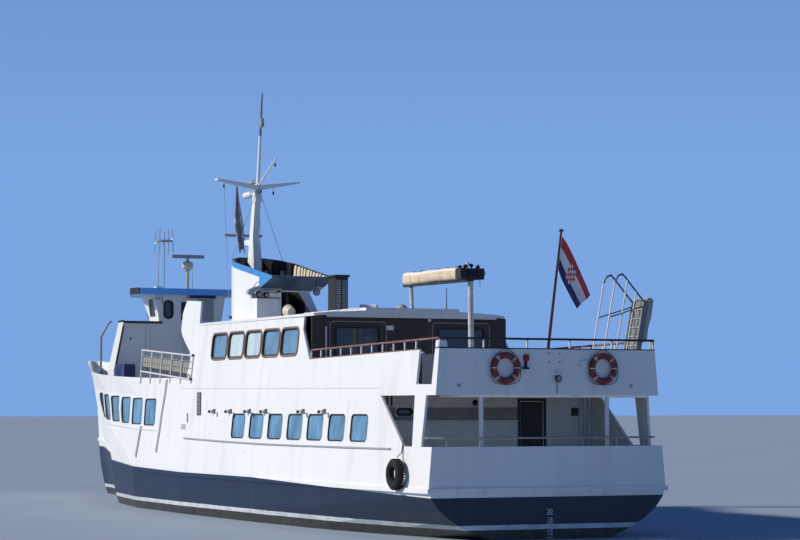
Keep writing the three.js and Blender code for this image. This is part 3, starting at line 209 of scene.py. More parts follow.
class Paint:
    """The node graph of one material, in ship coordinates."""

    def __init__(self, name, rough=0.5, metal=0.0):
        self.material = bpy.data.materials.new(name)
        self.material.use_nodes = True
        self.tree = self.material.node_tree
        self.tree.nodes.clear()
        out = self.tree.nodes.new("ShaderNodeOutputMaterial")
        self.shader = self.tree.nodes.new("ShaderNodeBsdfPrincipled")
        self.tree.links.new(self.shader.outputs[0], out.inputs[0])
        self.place = self.node("ShaderNodeTexCoord", {}, "Object")
        self.shader.inputs["Roughness"].default_value = rough
        self.shader.inputs["Metallic"].default_value = metal

    def node(self, kind, inputs, output=0, **settings):
        """One output of a new node with these inputs."""
        node = self.tree.nodes.new(kind)
        for key, value in settings.items():
            setattr(node, key, value)
        for key, value in inputs.items():
            self.feed(node.inputs[key], value)
        return Value(self, node.outputs[output])

    def feed(self, socket, value):
        if isinstance(value, Value):
            self.tree.links.new(value.socket, socket)
        elif isinstance(value, (tuple, list)):
            socket.default_value = value if len(socket.default_value) == 3 else (*value, 1.0)
        else:
            socket.default_value = value

    def math(self, kind, *values):
        return self.node("ShaderNodeMath", dict(enumerate(values)), operation=kind)

    def axis(self, index):
        return self.node("ShaderNodeSeparateXYZ", {0: self.place}, index)

    def facing(self, index):
        """One part of the direction that the surface faces."""
        return self.node("ShaderNodeSeparateXYZ", {0: self.node("ShaderNodeTexCoord", {}, "Normal")}, index)

    def noise(self, scale, detail=3.0, stretch=(1, 1, 1), rough=0.55):
        place = self.node("ShaderNodeMapping", {"Vector": self.place, "Scale": stretch})
        return self.node("ShaderNodeTexNoise", {"Vector": place, "Scale": scale, "Detail": detail,
                                                "Roughness": rough}, "Fac")

    def patches(self, scale, detail, low, high, most=1.0, stretch=(1, 1, 1), rough=0.55, least=0.0):
        """Noise that rises from least to most between two levels."""
        return self.noise(scale, detail, stretch, rough).between(low, high, least, most)

    def mix(self, share, a, b):
        return self.node("ShaderNodeMix", {0: share, 6: a, 7: b}, 2, data_type="RGBA")

    def blotched(self, a, b, *patches):
        return self.mix(self.patches(*patches), a, b)

    def finished(self, tone, height=None, strength=0.3, distance=0.01, inputs=None):
        """The material, with its colour, its bump and other inputs of the shader set."""
        self.feed(self.shader.inputs["Base Color"], tone)
        if height is not None:
            bump = self.node("ShaderNodeBump", {"Strength": strength, "Distance": distance,
                                                "Height": height})
            self.feed(self.shader.inputs["Normal"], bump)
        for key, value in (inputs or {}).items():
            self.feed(self.shader.inputs[key], value)
        return self.material


RUST = (0.20, 0.075, 0.03)
GRIME = (0.36, 0.33, 0.28)
RUNS = (2.6, 2.6, 0.16)


def shaded(colour, share):
    return [part * share for part in colour]


def weathered(name, base, rough=0.42, grime=0.35, rust=0.4, dents=0.6):
    """Ship's paint with runs of dirt, specks of rust and slightly dented plating."""
    paint = Paint(name, rough)
    broad = paint.patches(0.45, 2, 0.3, 0.7)
    tone = paint.mix(broad, shaded(base, 0.93), base)
    tone = paint.blotched(tone, GRIME, 1.0, 5, 0.52, 0.78, grime, RUNS)
    tone = paint.blotched(tone, RUST, 3.2, 8, 0.665, 0.72, rust, (1, 1, 0.55), 0.7)
    return paint.finished(tone, paint.noise(0.9, 2, (1, 1, 1.4)), dents, 0.03,
                          {"Roughness": broad.between(0.0, 1.0, rough + 0.1, rough)})


def plain(name, base, rough=0.5, metal=0.0, wear=0.25, scale=14.0):
    """A finish with a fine grain and a little unevenness."""
    paint = Paint(name, rough, metal)
    grain = paint.noise(scale, 4)
    tone = paint.mix(grain.between(0.3, 0.75), base, shaded(base, 1 - wear))
    return paint.finished(tone, grain, 0.15, 0.004,
                          {"Roughness": grain.between(0.3, 0.7, rough, min(1.0, rough + 0.15))})


def hull_paint():
    """Dark bottom, white boot stripe, navy, and white down to the line below the knuckle."""
    paint = Paint("hull_paint", 0.38)
    z = paint.axis(2)
    level = z + paint.patches(2.2, 5, 0.0, 1.0, 0.012, least=-0.012)
    navy = paint.blotched((0.003, 0.013, 0.042), (0.018, 0.034, 0.075), 1.2, 6, 0.48, 0.8, 0.4,
                          (2.4, 2.4, 0.3))
    bottom = paint.blotched((0.012, 0.013, 0.014), (0.05, 0.045, 0.03), 5.0, 6, 0.35, 0.7)
    stripe = paint.blotched((0.62, 0.66, 0.68), (0.32, 0.33, 0.30), 3.0, 5, 0.4, 0.75, 0.6)
    white = paint.blotched((0.80, 0.80, 0.78), GRIME, 1.0, 5, 0.52, 0.78, 0.4, (2.6, 2.6, 0.2))
    tone = paint.mix(level > BOOT_STRIPE_Z[0], bottom, stripe)
    tone = paint.mix(level > BOOT_STRIPE_Z[1], tone, navy)
    tone = paint.mix(z > paint.axis(0).line(*NAVY_TOP), tone, white)
    return paint.finished(tone, paint.noise(0.8, 2), 0.5, 0.03)


def gangway_paint():
    """Grey tread, pale pink rails and dark hoops, by the place along the stowed gangway."""
    paint = Paint("gangway_paint", 0.5)
    cos, sin = math.cos(GANGWAY_LEAN), math.sin(GANGWAY_LEAN)
    y, z = paint.axis(1), paint.axis(2)
    inboard = y.line(cos, -GANGWAY_Y * cos - GANGWAY_Z * sin) + z.line(sin, 0.0)
    up = y.line(-sin, GANGWAY_Y * sin - GANGWAY_Z * cos) + z.line(cos, 0.0)
    worn = paint.patches(18.0, 5, 0.4, 0.7)
    pale = paint.mix(worn, (0.80, 0.66, 0.63), (0.62, 0.46, 0.42))
    grey = paint.mix(worn, (0.16, 0.165, 0.17), (0.24, 0.235, 0.225))
    dark = paint.mix(worn, (0.030, 0.045, 0.060), (0.05, 0.06, 0.07))
    hoops = ((inboard < 0.905) & (up > 1.25)) | (up > 2.21)
    tone = paint.mix(inboard < 0.1, paint.mix(hoops, pale, dark), grey)
    return paint.finished(tone, paint.noise(40.0, 3), 0.2, 0.003)


def frame_paint():
    """Pale posts under a near-black boom and crosshead, whose black is painted shade under the roll and on
    the crosshead's after face.
    """
    paint = Paint("awning_frame_paint", 0.5)
    worn = paint.patches(8.0, 5, 0.4, 0.75)
    pale = paint.mix(worn, (0.60, 0.60, 0.58), (0.38, 0.34, 0.30))
    dark = paint.mix(worn, (0.016, 0.016, 0.017), (0.05, 0.042, 0.035))
    # Above the post tops: near-black, painted shade of the boom under the roll and of the crosshead's after
    # face.
    tone = paint.mix(paint.axis(2) > AWNING_POST_TOP_Z, pale, dark)
    return paint.finished(tone, paint.noise(30.0, 3), 0.2, 0.003)


def roll_paint():
    """Cream canvas with close pleats down the sides; the paler top is a painted highlight and the dark pleat
    lines are painted shade.
    """
    paint = Paint("awning_canvas", 0.9)
    stains = paint.patches(2.2, 5, 0.4, 0.75, 0.55)
    side = paint.mix(stains, (0.74, 0.62, 0.42), (0.52, 0.42, 0.28))
    top = paint.mix(stains, (0.86, 0.78, 0.70), (0.66, 0.58, 0.50))
    pleats = paint.noise(6.0, 2, (3.2, 0.2, 0.12))
    # Dark lines along the pleats: painted shade in their creases.
    side = paint.mix(pleats.between(0.48, 0.62, 0.0, 0.5), side, (0.40, 0.31, 0.20))
    # Upward-facing canvas is paler: a painted highlight.
    tone = paint.mix(paint.facing(2) > 0.32, side, top)
    return paint.finished(tone, pleats, 0.8, 0.02, {"Sheen Weight": 0.2})


def mast_paint():
    """White up to the lamps, then weathered grey pole."""
    paint = Paint("mast_paint", 0.42)
    white = paint.blotched((0.84, 0.84, 0.82), GRIME, 1.4, 5, 0.52, 0.78, 0.4, (2.6, 2.6, 0.2))
    grey = paint.blotched((0.16, 0.17, 0.19), (0.26, 0.26, 0.26), 9.0, 4, 0.35, 0.7)
    tone = paint.mix(paint.axis(2) > MAST_WHITE_TOP_Z, white, grey)
    return paint.finished(tone, paint.noise(3.0, 3), 0.3, 0.01)


def deck_paint():
    """Worn grey-green deck, with a pale painted underside."""
    paint = Paint("deck_paint", 0.85)
    top = paint.blotched((0.36, 0.395, 0.37), (0.48, 0.49, 0.46), 0.7, 6, 0.4, 0.7)
    under = paint.blotched((0.76, 0.74, 0.68), (0.52, 0.48, 0.40), 1.5, 5, 0.4, 0.75)
    return paint.finished(paint.mix(paint.facing(2) < -0.5, top, under), paint.noise(60.0, 2), 0.4, 0.003)


def glass(name, base, spread=0.5):
    """Pane of one flat colour with darker soft patches for what lies behind it; the blue panes' colour is a
    painted reflection of the sky, the black panes' colour painted shade of the rooms behind.
    """
    paint = Paint(name, 0.06)
    tone = paint.blotched(base, shaded(base, 1 - spread), 1.3, 3, 0.35, 0.65, 1.0, (1.6, 1.6, 0.8))
    return paint.finished(tone, inputs={"Specular IOR Level": 0.8})


def curtained_glass():
    """A pane with pale curtains behind it; its lighter upright bands are painted light on the folds."""
    paint = Paint("curtained_glass", 0.08)
    pale = paint.blotched((0.52, 0.62, 0.60), (0.42, 0.50, 0.62), 0.9, 1, 0.4, 0.6, 1.0, (1.0, 1.0, 0.2))
    # Lighter upright bands: painted highlights of curtain folds, which have no shape here.
    tone = paint.blotched(pale, (0.66, 0.74, 0.70), 9.0, 3, 0.35, 0.65, 1.0, (1.0, 1.0, 0.06))
    return paint.finished(tone, inputs={"Specular IOR Level": 0.8})


def buoy_paint():
    """Dark red ring with narrow white bands on the slants and thinner ones at the sides."""
    paint = Paint("buoy_paint", 0.6)
    y = paint.axis(1)
    centre = (y > 0.0).between(0.0, 1.0, BUOY_YS[1], BUOY_YS[0])
    angle = paint.math("ARCTAN2", paint.axis(2) - BUOY_Z, y - centre)
    slants = paint.math("COSINE", angle * 4.0) < -0.94
    sides = paint.math("COSINE", angle * 2.0) > 0.9975
    red = paint.blotched((0.17, 0.020, 0.022), (0.25, 0.040, 0.036), 6.0, 4, 0.3, 0.7)
    tone = paint.mix(slants | sides, red, (0.74, 0.72, 0.68))
    return paint.finished(tone, paint.noise(90.0, 2), 0.25, 0.002)


def rail_paint():
    """Rust-brown bars on white stanchions along the sides, and across the stern the same bar in near-black,
    painted shade.
    """
    paint = Paint("rail_paint", 0.5)
    x = paint.axis(0)
    height = paint.axis(2) - x.line(*RAIL_BAR)
    bar = paint.math("ABSOLUTE", height) < RAIL_BAR_HALF
    worn = paint.patches(11.0, 5, 0.45, 0.7)
    brown = paint.mix(worn, (0.20, 0.085, 0.065), (0.36, 0.20, 0.16))
    stern_shade_black = paint.mix(worn, (0.012, 0.012, 0.013), (0.05, 0.045, 0.04))
    white = paint.blotched((0.72, 0.71, 0.69), (0.40, 0.30, 0.24), 9.0, 5, 0.5, 0.75)
    # Aft of x -17.5 the bar is near-black: painted shade on the stern.
    tone = paint.mix(bar, white, paint.mix(x < -17.5, brown, stern_shade_black))
    return paint.finished(tone, paint.noise(40.0, 3), 0.2, 0.003)


def funnel_paint():
    """White with an azure band along the raked top, azure aft, and soot inside; the navy under and aft of
    the wing, the near-black recess, the navy low inside and the grey of the starboard leg are painted shade.
    """
    paint = Paint("funnel_paint", 0.38)
    x, y, z = (paint.axis(i) for i in range(3))
    nx, ny, nz = (paint.facing(i) for i in range(3))
    ragged = paint.patches(3.0, 4, 0.0, 1.0, 0.01, least=-0.01)
    azure = (z + ragged > x.line(*AZURE_BAND)) | (x < -1.43)
    walls = (y * ny < -0.25) | ((nx < -0.3) & (x > 0.4))
    inside = walls | (((nx > 0.3) & (x < 0.0)) | ((nz > 0.5) & (z < 6.84)))
    leg = (y < -0.72) & (z < 6.62) & (nx < 0.5) & (x < -0.3)
    recess = (nx < -0.5) & (x > -1.24) & (x < -0.9)
    under = (nz < -0.5) & (x < -1.3)
    edge = (nx < -0.8) & (x < -2.3)
    white = paint.blotched((0.82, 0.82, 0.81), GRIME, 1.0, 5, 0.54, 0.78, 0.3, RUNS)
    white = paint.blotched(white, RUST, 5.0, 8, 0.69, 0.73, 0.7, (1, 1, 0.7), 0.7)
    blue = paint.blotched((0.050, 0.235, 0.56), (0.070, 0.29, 0.62), 2.0, 4, 0.35, 0.7)
    soot = paint.blotched((0.006, 0.006, 0.007), (0.022, 0.020, 0.019), 3.0, 6, 0.4, 0.7)
    navy = paint.blotched((0.022, 0.046, 0.10), (0.11, 0.14, 0.18), 0.9, 3, 0.4, 0.62, 1.0, (0.5, 1.0, 1.0))
    # Wing's underside and after edge: navy with a paler blotchy gradient, painted shade on the azure wing.
    tone = paint.mix(under | edge, paint.mix(azure, white, blue), navy)
    # Low and aft inside, the navy is painted shade on azure; the rest of the inside is soot.
    tone = paint.mix(inside, tone, paint.mix((z < 6.5) & (x < -0.3), soot, (0.010, 0.020, 0.055)))
    # Recess beside the block: near-black, a painted shadow.
    tone = paint.mix(recess, tone, (0.006, 0.012, 0.034))
    # Starboard leg: pale grey, white paint with painted shade.
    tone = paint.mix(leg, tone, (0.62, 0.64, 0.66))
    return paint.finished(tone, paint.noise(0.9, 2), 0.4, 0.02)


def canvas(name, base):
    paint = Paint(name, 0.9)
    tone = paint.blotched(base, shaded(base, 0.62), 1.8, 5, 0.4, 0.75, 0.6)
    creases = paint.noise(5.0, 4, (2.6, 0.5, 0.5)) + paint.noise(240.0, 1) * 0.1
    return paint.finished(tone, creases, 0.8, 0.03, {"Sheen Weight": 0.2})


def cloth(name, base):
    paint = Paint(name, 0.85)
    weave = paint.noise(420.0, 1)
    tone = paint.mix(weave.between(0.3, 0.7), base, shaded(base, 0.8))
    return paint.finished(tone, weave, 0.3, 0.001, {"Sheen Weight": 0.25})


def faded_cloth():
    """Thin cloth, dark above and bleached in patches below."""
    paint = Paint("pennant_faded", 0.85)
    lower = paint.blotched((0.26, 0.23, 0.26), (0.86, 0.82, 0.80), 5.0, 3, 0.45, 0.6, 1.0, (1, 1, 0.6))
    tone = paint.mix(paint.axis(2).between(8.3, 9.3), lower, (0.20, 0.185, 0.22))
    return paint.finished(tone, paint.noise(300.0, 1), 0.3, 0.001, {"Sheen Weight": 0.25})


def azure_paint():
    """Azure enamel, lighter than the funnel's azure as a painted sunlit tone, and flaked to white in places
    along the edge.
    """
    paint = Paint("azure_enamel_painted_sunlit", 0.35)
    # This azure is lighter than the funnel's: painted light on the shaded roof edge.
    blue = paint.blotched((0.085, 0.36, 0.88), (0.14, 0.46, 0.92), 1.2, 4, 0.35, 0.7)
    y = paint.axis(1)
    flakes = paint.patches(4.5, 8, 0.63, 0.66, 1.0, (1, 1, 1.6), 0.72) & ((y < 0.2) & (y > -1.5))
    return paint.finished(paint.mix(flakes, blue, (0.72, 0.76, 0.80)), paint.noise(5.0, 4), 0.15, 0.005)


WHITE = weathered("white_enamel", (0.82, 0.82, 0.80), grime=0.25, rust=0.25, dents=0.5)
HOUSE = weathered("house_enamel", (0.74, 0.74, 0.72), grime=0.45, rust=0.55)
ROOF = weathered("roof_enamel", (0.78, 0.79, 0.78), 0.55, 0.3, 0.2, 0.3)
GREY = weathered("grey_enamel", (0.33, 0.35, 0.36), 0.5, 0.4, 0.5, 0.2)
CREAM = weathered("cream_enamel", (0.66, 0.60, 0.44), 0.5, 0.3, 0.4, 0.1)
BULKHEAD = weathered("bulkhead_enamel", (0.84, 0.79, 0.70), 0.55, 0.4, 0.3, 0.2)
# Blue-grey of the leg plate: painted shade on white.
LEG_SHADE_GREY = weathered("funnel_leg_painted_shade_grey", (0.50, 0.53, 0.62), 0.5, 0.3, 0.2)
BROWN = plain("dark_brown_panel", (0.045, 0.026, 0.018), 0.35, wear=0.4, scale=6.0)
DOOR_BROWN = plain("door_brown", (0.035, 0.022, 0.018), 0.4, wear=0.3, scale=8.0)
BAND_GREY = plain("bulkhead_band_grey", (0.34, 0.32, 0.28), scale=5.0)
PANEL_WHITE = plain("panel_white", (0.84, 0.83, 0.80), wear=0.2, scale=7.0)
CAP_BROWN = plain("cap_red_brown", (0.24, 0.11, 0.085), wear=0.5, scale=18.0)
# Black for the cap across the stern: painted shade.
STERN_CAP_SHADE = plain("cap_painted_shade_black", (0.014, 0.014, 0.015), 0.4, wear=0.5, scale=9.0)
RAIL_WHITE = plain("rail_white", (0.74, 0.73, 0.70), 0.45, scale=25.0)
STEEL = plain("galvanised_steel", (0.42, 0.43, 0.44), 0.42, 0.7, 0.3, 30.0)
BLACK = plain("satin_black", (0.014, 0.014, 0.015), 0.45, wear=0.4, scale=20.0)
RUBBER = plain("worn_rubber", (0.016, 0.016, 0.017), 0.85, wear=0.5, scale=40.0)
BRONZE = plain("cast_bronze", (0.42, 0.27, 0.10), 0.35, 0.9, 0.3)
WOOD = plain("dark_varnished_wood", (0.085, 0.022, 0.014), 0.3, wear=0.5, scale=9.0)
ENGINE_GREY = plain("engine_grey", (0.25, 0.28, 0.27), wear=0.3)
LAMP_RED = plain("lamp_red", (0.34, 0.02, 0.02), 0.3, wear=0.3, scale=30.0)
ROPE = plain("tarred_rope", (0.10, 0.085, 0.06), 0.9, wear=0.5, scale=60.0)
SEAM = plain("seam_shade", (0.46, 0.46, 0.46), 0.6, wear=0.4, scale=9.0)
SLAT_CREAM = plain("slat_cream", (0.80, 0.72, 0.50), wear=0.35, scale=8.0)
BLUE_BOX = plain("dark_blue_plastic", (0.012, 0.030, 0.17), 0.45, wear=0.3)
FRAME_RED = plain("window_frame_brown", (0.27, 0.17, 0.13), 0.45, wear=0.3, scale=12.0)
SEAL = plain("window_seal", (0.012, 0.012, 0.012), 0.6, wear=0.2)
COVER_GREY = canvas("grey_cover", (0.40, 0.42, 0.38))
LENS = glass("lamp_lens", (0.30, 0.33, 0.36))
# The blue of these two panes is a painted reflection of the sky.
LOWER_GLASS = glass("lower_window_glass_painted_sky", (0.17, 0.34, 0.50))
UPPER_GLASS = glass("upper_window_glass_painted_sky", (0.17, 0.31, 0.44), 0.3)
# The near-black of these panes is painted shade of the unlit rooms behind them.
DARK_GLASS = glass("dark_glass_painted_shade", (0.015, 0.017, 0.020), 0.4)
CURTAINED = curtained_glass()

# Paint on the carried-over solids
SOLIDS = (
    (hull_paint(), "hull", "rudder"),
    (WHITE, "lower_plating_port", "lower_plating_starboard", "bow_plating_port", "bow_plating_starboard",
     "upper_plating", "upper_saloon_front"),
    (mast_paint(), "mast"),
    (funnel_paint(), "funnel"),
    (ROOF, "saloon_roof", "mushroom_vent"),
    (HOUSE, "forward_house", "wheelhouse", "hatch_coaming", "hatch_lid", "aft_pillars"),
    (deck_paint(), "main_deck", "upper_deck"),
    (azure_paint(), "wheelhouse_roof"),
    (GREY, "wheelhouse_door", "gate_leaf", "bridge_stairs", "bow_davit", "davit_step", "gangway_bracket",
     "radar_scanner", "mast_radar_scanner"),
    (frame_paint(), "awning_frame"),
    (gangway_paint(), "gangway"),
    (CREAM, "cowl_vent", "radar_pedestal", "after_benches"),
    (BROWN, "upper_saloon_aft_wall"),
    (DOOR_BROWN, "upper_saloon_door", "main_saloon_door"),
    (BULKHEAD, "main_saloon_aft_wall"),
    (rail_paint(), "promenade_rail", "starboard_rail"),
    (RAIL_WHITE, "well_rail_port", "well_rail_starboard"),
    (STEEL, "stern_handrail", "loop_antenna", "windlass_drum"),
    (BLACK, "ventilator_box", "exhaust_pipes", "windlass_bed", "fore_bollards"),
    (RUBBER, "tyre_fender"),
    (BRONZE, "propeller"),
    (WOOD, "flagstaff"),
    (ENGINE_GREY, "engine"),
    (buoy_paint(), "lifebuoy_port", "lifebuoy_starboard"),
)


def dress_solids():
    for material, *nodes in SOLIDS:
        for name in nodes:
            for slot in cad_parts[name].material_slots:
                slot.link = "OBJECT"
                slot.material = material


# Building pieces

def turn_of(k, count):
    return 2 * math.pi * k / count


def circle(sides):
    """Cosine and sine of equal turns."""
    return [(math.cos(turn_of(k, sides)), math.sin(turn_of(k, sides))) for k in range(sides)]


class Shape:
    """Points and faces of one piece, gathered before it becomes an object."""

    def __init__(self):
        self.points = []
        self.faces = []
        self.slots = []

    def add(self, points, faces, slot=0):
        first = len(self.points)
        self.points += [tuple(p) for p in points]
        self.faces += [tuple(first + i for i in face) for face in faces]
        self.slots += [slot] * len(faces)

    def loft(self, loops, slot=0, closed=False):
        """A skin through outlines of the same length, with flat ends or closed on itself."""
        n = len(loops[0])
        total = n * len(loops)
        faces = [] if closed else [tuple(reversed(range(n))), tuple(range(total - n, total))]
        for k in range(0, total if closed else total - n, n):
            m = (k + n) % total
            faces += [(k + i, k + (i + 1) % n, m + (i + 1) % n, m + i) for i in range(n)]
        self.add([p for loop in loops for p in loop], faces, slot)

    def grid(self, points, rows):
        """A sheet through columns of points, each with one point more than its rows."""
        for i in range(len(points) // (rows + 1) - 1):
            for j in range(rows):
                a, b = i * (rows + 1) + j, (i + 1) * (rows + 1) + j
                self.faces.append((a, b, b + 1, a + 1))
                self.slots.append(0)
        self.points = points

    def plate(self, outline, place, high, slot=0, low=-0.002):
        """A plate with this outline between two depths of a surface."""
        self.loft([[place(u, v, depth) for u, v in outline] for depth in (low, high)], slot)

    def box(self, x0, x1, y0, y1, z0, z1, slot=0):
        self.loft([[(x, y, z) for x, y in rect(x0, x1, y0, y1)] for z in (z0, z1)], slot)

    def ring(self, outer, inner, place, low, high, slot=0):
        """A flat frame between two outlines of the same length; place gives the point at a depth."""
        sides = ((outer, high), (inner, high), (inner, low), (outer, low))
        self.loft([[place(u, v, depth) for u, v in line] for line, depth in sides], slot, closed=True)

    def tube(self, path, radius, sides=8, slot=0, closed=False):
        path = [Vector(p) for p in path]
        n = len(path)
        normal = None
        loops = []
        for i, point in enumerate(path):
            before = path[i - 1] if (i or closed) else point
            after = path[(i + 1) % n] if (i < n - 1 or closed) else point
            along = (after - before).normalized()
            if normal is None:
                normal = along.orthogonal().normalized()
            normal = (normal - along * normal.dot(along)).normalized()
            across = along.cross(normal)
            size = radius(i / (n - 1)) if callable(radius) else radius
            loops.append([point + normal * (size * c) + across * (size * s) for c, s in circle(sides)])
        self.loft(loops, slot, closed)

    def turned(self, centre, profile, axis=UP, sides=24, slot=0):
        """A turned shape: the profile lists radius and distance along the axis."""
        centre, axis = Vector(centre), Vector(axis).normalized()
        u = axis.orthogonal().normalized()
        v = axis.cross(u)
        self.loft([[centre + axis * along + (u * c + v * s) * radius for c, s in circle(sides)]
                   for radius, along in profile], slot)

    def make(self, name, materials, body=SHIP, bevel=0.0, smooth=35):
        mesh = bpy.data.meshes.new(name)
        mesh.from_pydata(self.points, [], self.faces)
        skin = bmesh.new()
        skin.from_mesh(mesh)
        bmesh.ops.recalc_face_normals(skin, faces=skin.faces)
        skin.to_mesh(mesh)
        skin.free()
        for material in materials if isinstance(materials, list) else [materials]:
            mesh.materials.append(material)
        mesh.polygons.foreach_set("material_index", self.slots)
        mesh.shade_smooth()
        mesh.set_sharp_from_angle(angle=math.radians(smooth))
        obj = place_object(name, mesh)
        if bevel:
            modifier = obj.modifiers.new("edges", "BEVEL")
            modifier.width = bevel
            modifier.segments = 2
            modifier.limit_method = "ANGLE"
        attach(obj, body)
        return obj


def rect(u0, u1, v0, v1):
    return [(u0, v0), (u1, v0), (u1, v1), (u0, v1)]


def rounded(u0, u1, v0, v1, r, steps=4):
    """Outline of a rectangle with round corners."""
    corners = ((u1 - r, v1 - r, 0), (u0 + r, v1 - r, 90), (u0 + r, v0 + r, 180), (u1 - r, v0 + r, 270))
    points = []
    for u, v, start in corners:
        for i in range(steps + 1):
            turn = math.radians(start + 90 * i / steps)
            points.append((u + r * math.cos(turn), v + r * math.sin(turn)))
    return points


def on_side(side):
    return lambda x, z, out: (x, side * (side_y(x, z) + out), z)


def on_plane(x):
    """Places on an upright plane that faces astern."""
    return lambda y, z, out: (x - out, y, z)


# Windows

def window_row(shape, row, place, lift, frame_width, proud, pane_at):
    """Frames in slot 0, seals in slot 1 and panes in slots 2 and 3 of a row of windows."""
    for i in range(row["count"]):
        u = row["first"] + i * row["pitch"]
        z0, z1 = row["z0"] + lift(u), row["z1"] + lift(u)
        half, corner, seal = row["width"] / 2, row["corner"], 0.035
        opening = rounded(u - half, u + half, z0, z1, corner)
        outer = rounded(u - half - frame_width, u + half + frame_width, z0 - frame_width,
                        z1 + frame_width, corner + frame_width)
        inner = rounded(u - half + seal, u + half - seal, z0 + seal, z1 - seal, corner - 0.03)
        shape.ring(outer, opening, place, 0.001, proud, 0)
        shape.ring(opening, inner, place, pane_at - 0.01, proud * 0.6, 1)
        shape.plate(opening, place, pane_at, 3 if i in row.get("curtains", ()) else 2, pane_at - 0.008)


LOWER_ROW = dict(first=-5.49, pitch=-1.352, count=7, width=1.0, z0=2.22, z1=2.9, corner=0.13)
UPPER_ROW = dict(first=-3.423, pitch=-1.31, count=5, width=1.15, z0=4.44, z1=5.14, corner=0.16,
                 curtains=(1, 2))
BOW_ROW = dict(first=2.2, pitch=1.33, count=6, width=1.1, z0=2.48, z1=3.3, corner=0.13)


def level(u):
    """The lift of a row that doesn't follow the sheer."""
    return 0.0


def side_windows():
    upper, lower = Shape(), Shape()
    for side in (1, -1):
        window_row(upper, UPPER_ROW, on_side(side), level, 0.042, 0.03, -0.03)
        window_row(lower, LOWER_ROW, on_side(side), level, 0.012, 0.006, -0.022)
        window_row(lower, BOW_ROW, on_side(side), sheer, 0.012, 0.006, -0.022)
    upper.make("upper_windows", [FRAME_RED, SEAL, UPPER_GLASS, CURTAINED])
    lower.make("lower_windows", [WHITE, SEAL, LOWER_GLASS])


def end_windows():
    """The saloon's two after windows, the port by the after deck and the wheelhouse's oval."""
    shape = Shape()
    for wall, y, width, z0, z1, corner, frame_width, proud in (
            (SALOON_WALL_X, 1.525, 1.25, 4.38, 5.15, 0.09, 0.03, 0.012),
            (SALOON_WALL_X, -1.475, 1.35, 4.38, 5.15, 0.09, 0.03, 0.012),
            (BULKHEAD_X, 2.275, 0.41, 2.87, 3.03, 0.075, 0.02, 0.012),
            (HOUSE_WALL_X, 0.76, 0.28, 5.99, 6.54, 0.12, 0.035, 0.015)):
        row = dict(first=y, pitch=0, count=1, width=width, z0=z0, z1=z1, corner=corner)
        window_row(shape, row, on_plane(wall), level, frame_width, proud, -0.02)
    shape.make("end_windows", [BLACK, SEAL, DARK_GLASS])


def house_glass():
    """Panes of the wheelhouse and of the forward house, just inside their walls."""
    shape = Shape()
    for path, z0, z1, lean in ((((7.45, 1.13), (8.45, 1.13), (9.25, 0.80), (9.6, 0.38)), 6.02, 6.68, 0.14),
                               (((8.6, 2.10), (9.55, 1.50), (10.35, 0.62)), 4.84, 5.52, -0.28)):
        loops = []
        for x, y in (*path, *((x, -y) for x, y in reversed(path))):
            side = 1 if y > 0 else -1
            low = [(x - depth, y - side * depth, z0) for depth in (0.045, 0.038)]
            high = [(x - depth + lean * 0.8, y - side * (depth - lean * 0.45), z1)
                    for depth in (0.038, 0.045)]
            loops.append(low + high)
        shape.loft(loops)
    shape.make("house_panes", DARK_GLASS)


# Trim of the sides

def strip_on_side(shape, side, points, half, proud, slot=0):
    """A half-round strip along the side through points of x and z."""
    place = on_side(side)
    edges = ((-half, -0.002), (half, -0.002), (half * 0.6, proud), (-half * 0.6, proud))
    shape.loft([[place(x, z + rise, out) for rise, out in edges] for x, z in points], slot)


def spaced(x0, x1, count, height):
    """Points of x and z at equal steps along the side."""
    return [(x, height(x)) for x in (x0 + (x1 - x0) * i / count for i in range(count + 1))]


def cap_top(x):
    return 4.42 - 0.12 * (x + 17.8) / 7.7


def side_trim():
    """Rubbing strips, weld lines and the caps of the bulwark; the rubbing strips' grey is a painted shadow
    line and the cap across the stern is black as painted shade.
    """
    strips, lines, caps = Shape(), Shape(), Shape()
    rub = [(-15.5, 2.08), (-13.0, 2.08), (-10.0, 2.08), (-7.3, 2.09), (-4.5, 2.12), (-1.2, 2.18)]
    for side in (1, -1):
        # The rubbing strip is grey: it stands in for the shadow line under it, a painted shadow.
        strip_on_side(strips, side, rub, 0.026, 0.035)
        strip_on_side(strips, side, spaced(1.3, 9.6, 12, lambda x: 2.36 + sheer(x)), 0.02, 0.03, 1)
        seam = spaced(-14.55, -0.32, 14, lambda x: 3.52 + 0.007 * (x + 14.55))
        strip_on_side(lines, side, seam, 0.007, 0.004)
        for x in (-12.9, -2.9):
            strip_on_side(lines, side, [(x, 2.2), (x + 0.02, 3.3)], 0.004, 0.003)
        for x0, x1 in ((-17.56, -17.42), (-16.61, -10.12)):
            caps.loft([[(x, side * (side_y(x, z) + out), z + rise) for out, rise in
                        ((-0.066, -0.004), (0.008, -0.004), (0.006, 0.022), (-0.062, 0.022))]
                       for x, z in spaced(x0, x1, 8, cap_top)])
    y = side_y(STERN_X, 4.41) + 0.004
    # Cap across the stern: black, painted shade on the brown cap.
    caps.box(-17.606, -17.53, -y, y, 4.412, 4.438, 1)
    strips.make("rub_strips", [GREY, WHITE], bevel=0.004)
    lines.make("weld_lines", SEAM)
    caps.make("bulwark_caps", [CAP_BROWN, STERN_CAP_SHADE], bevel=0.005)


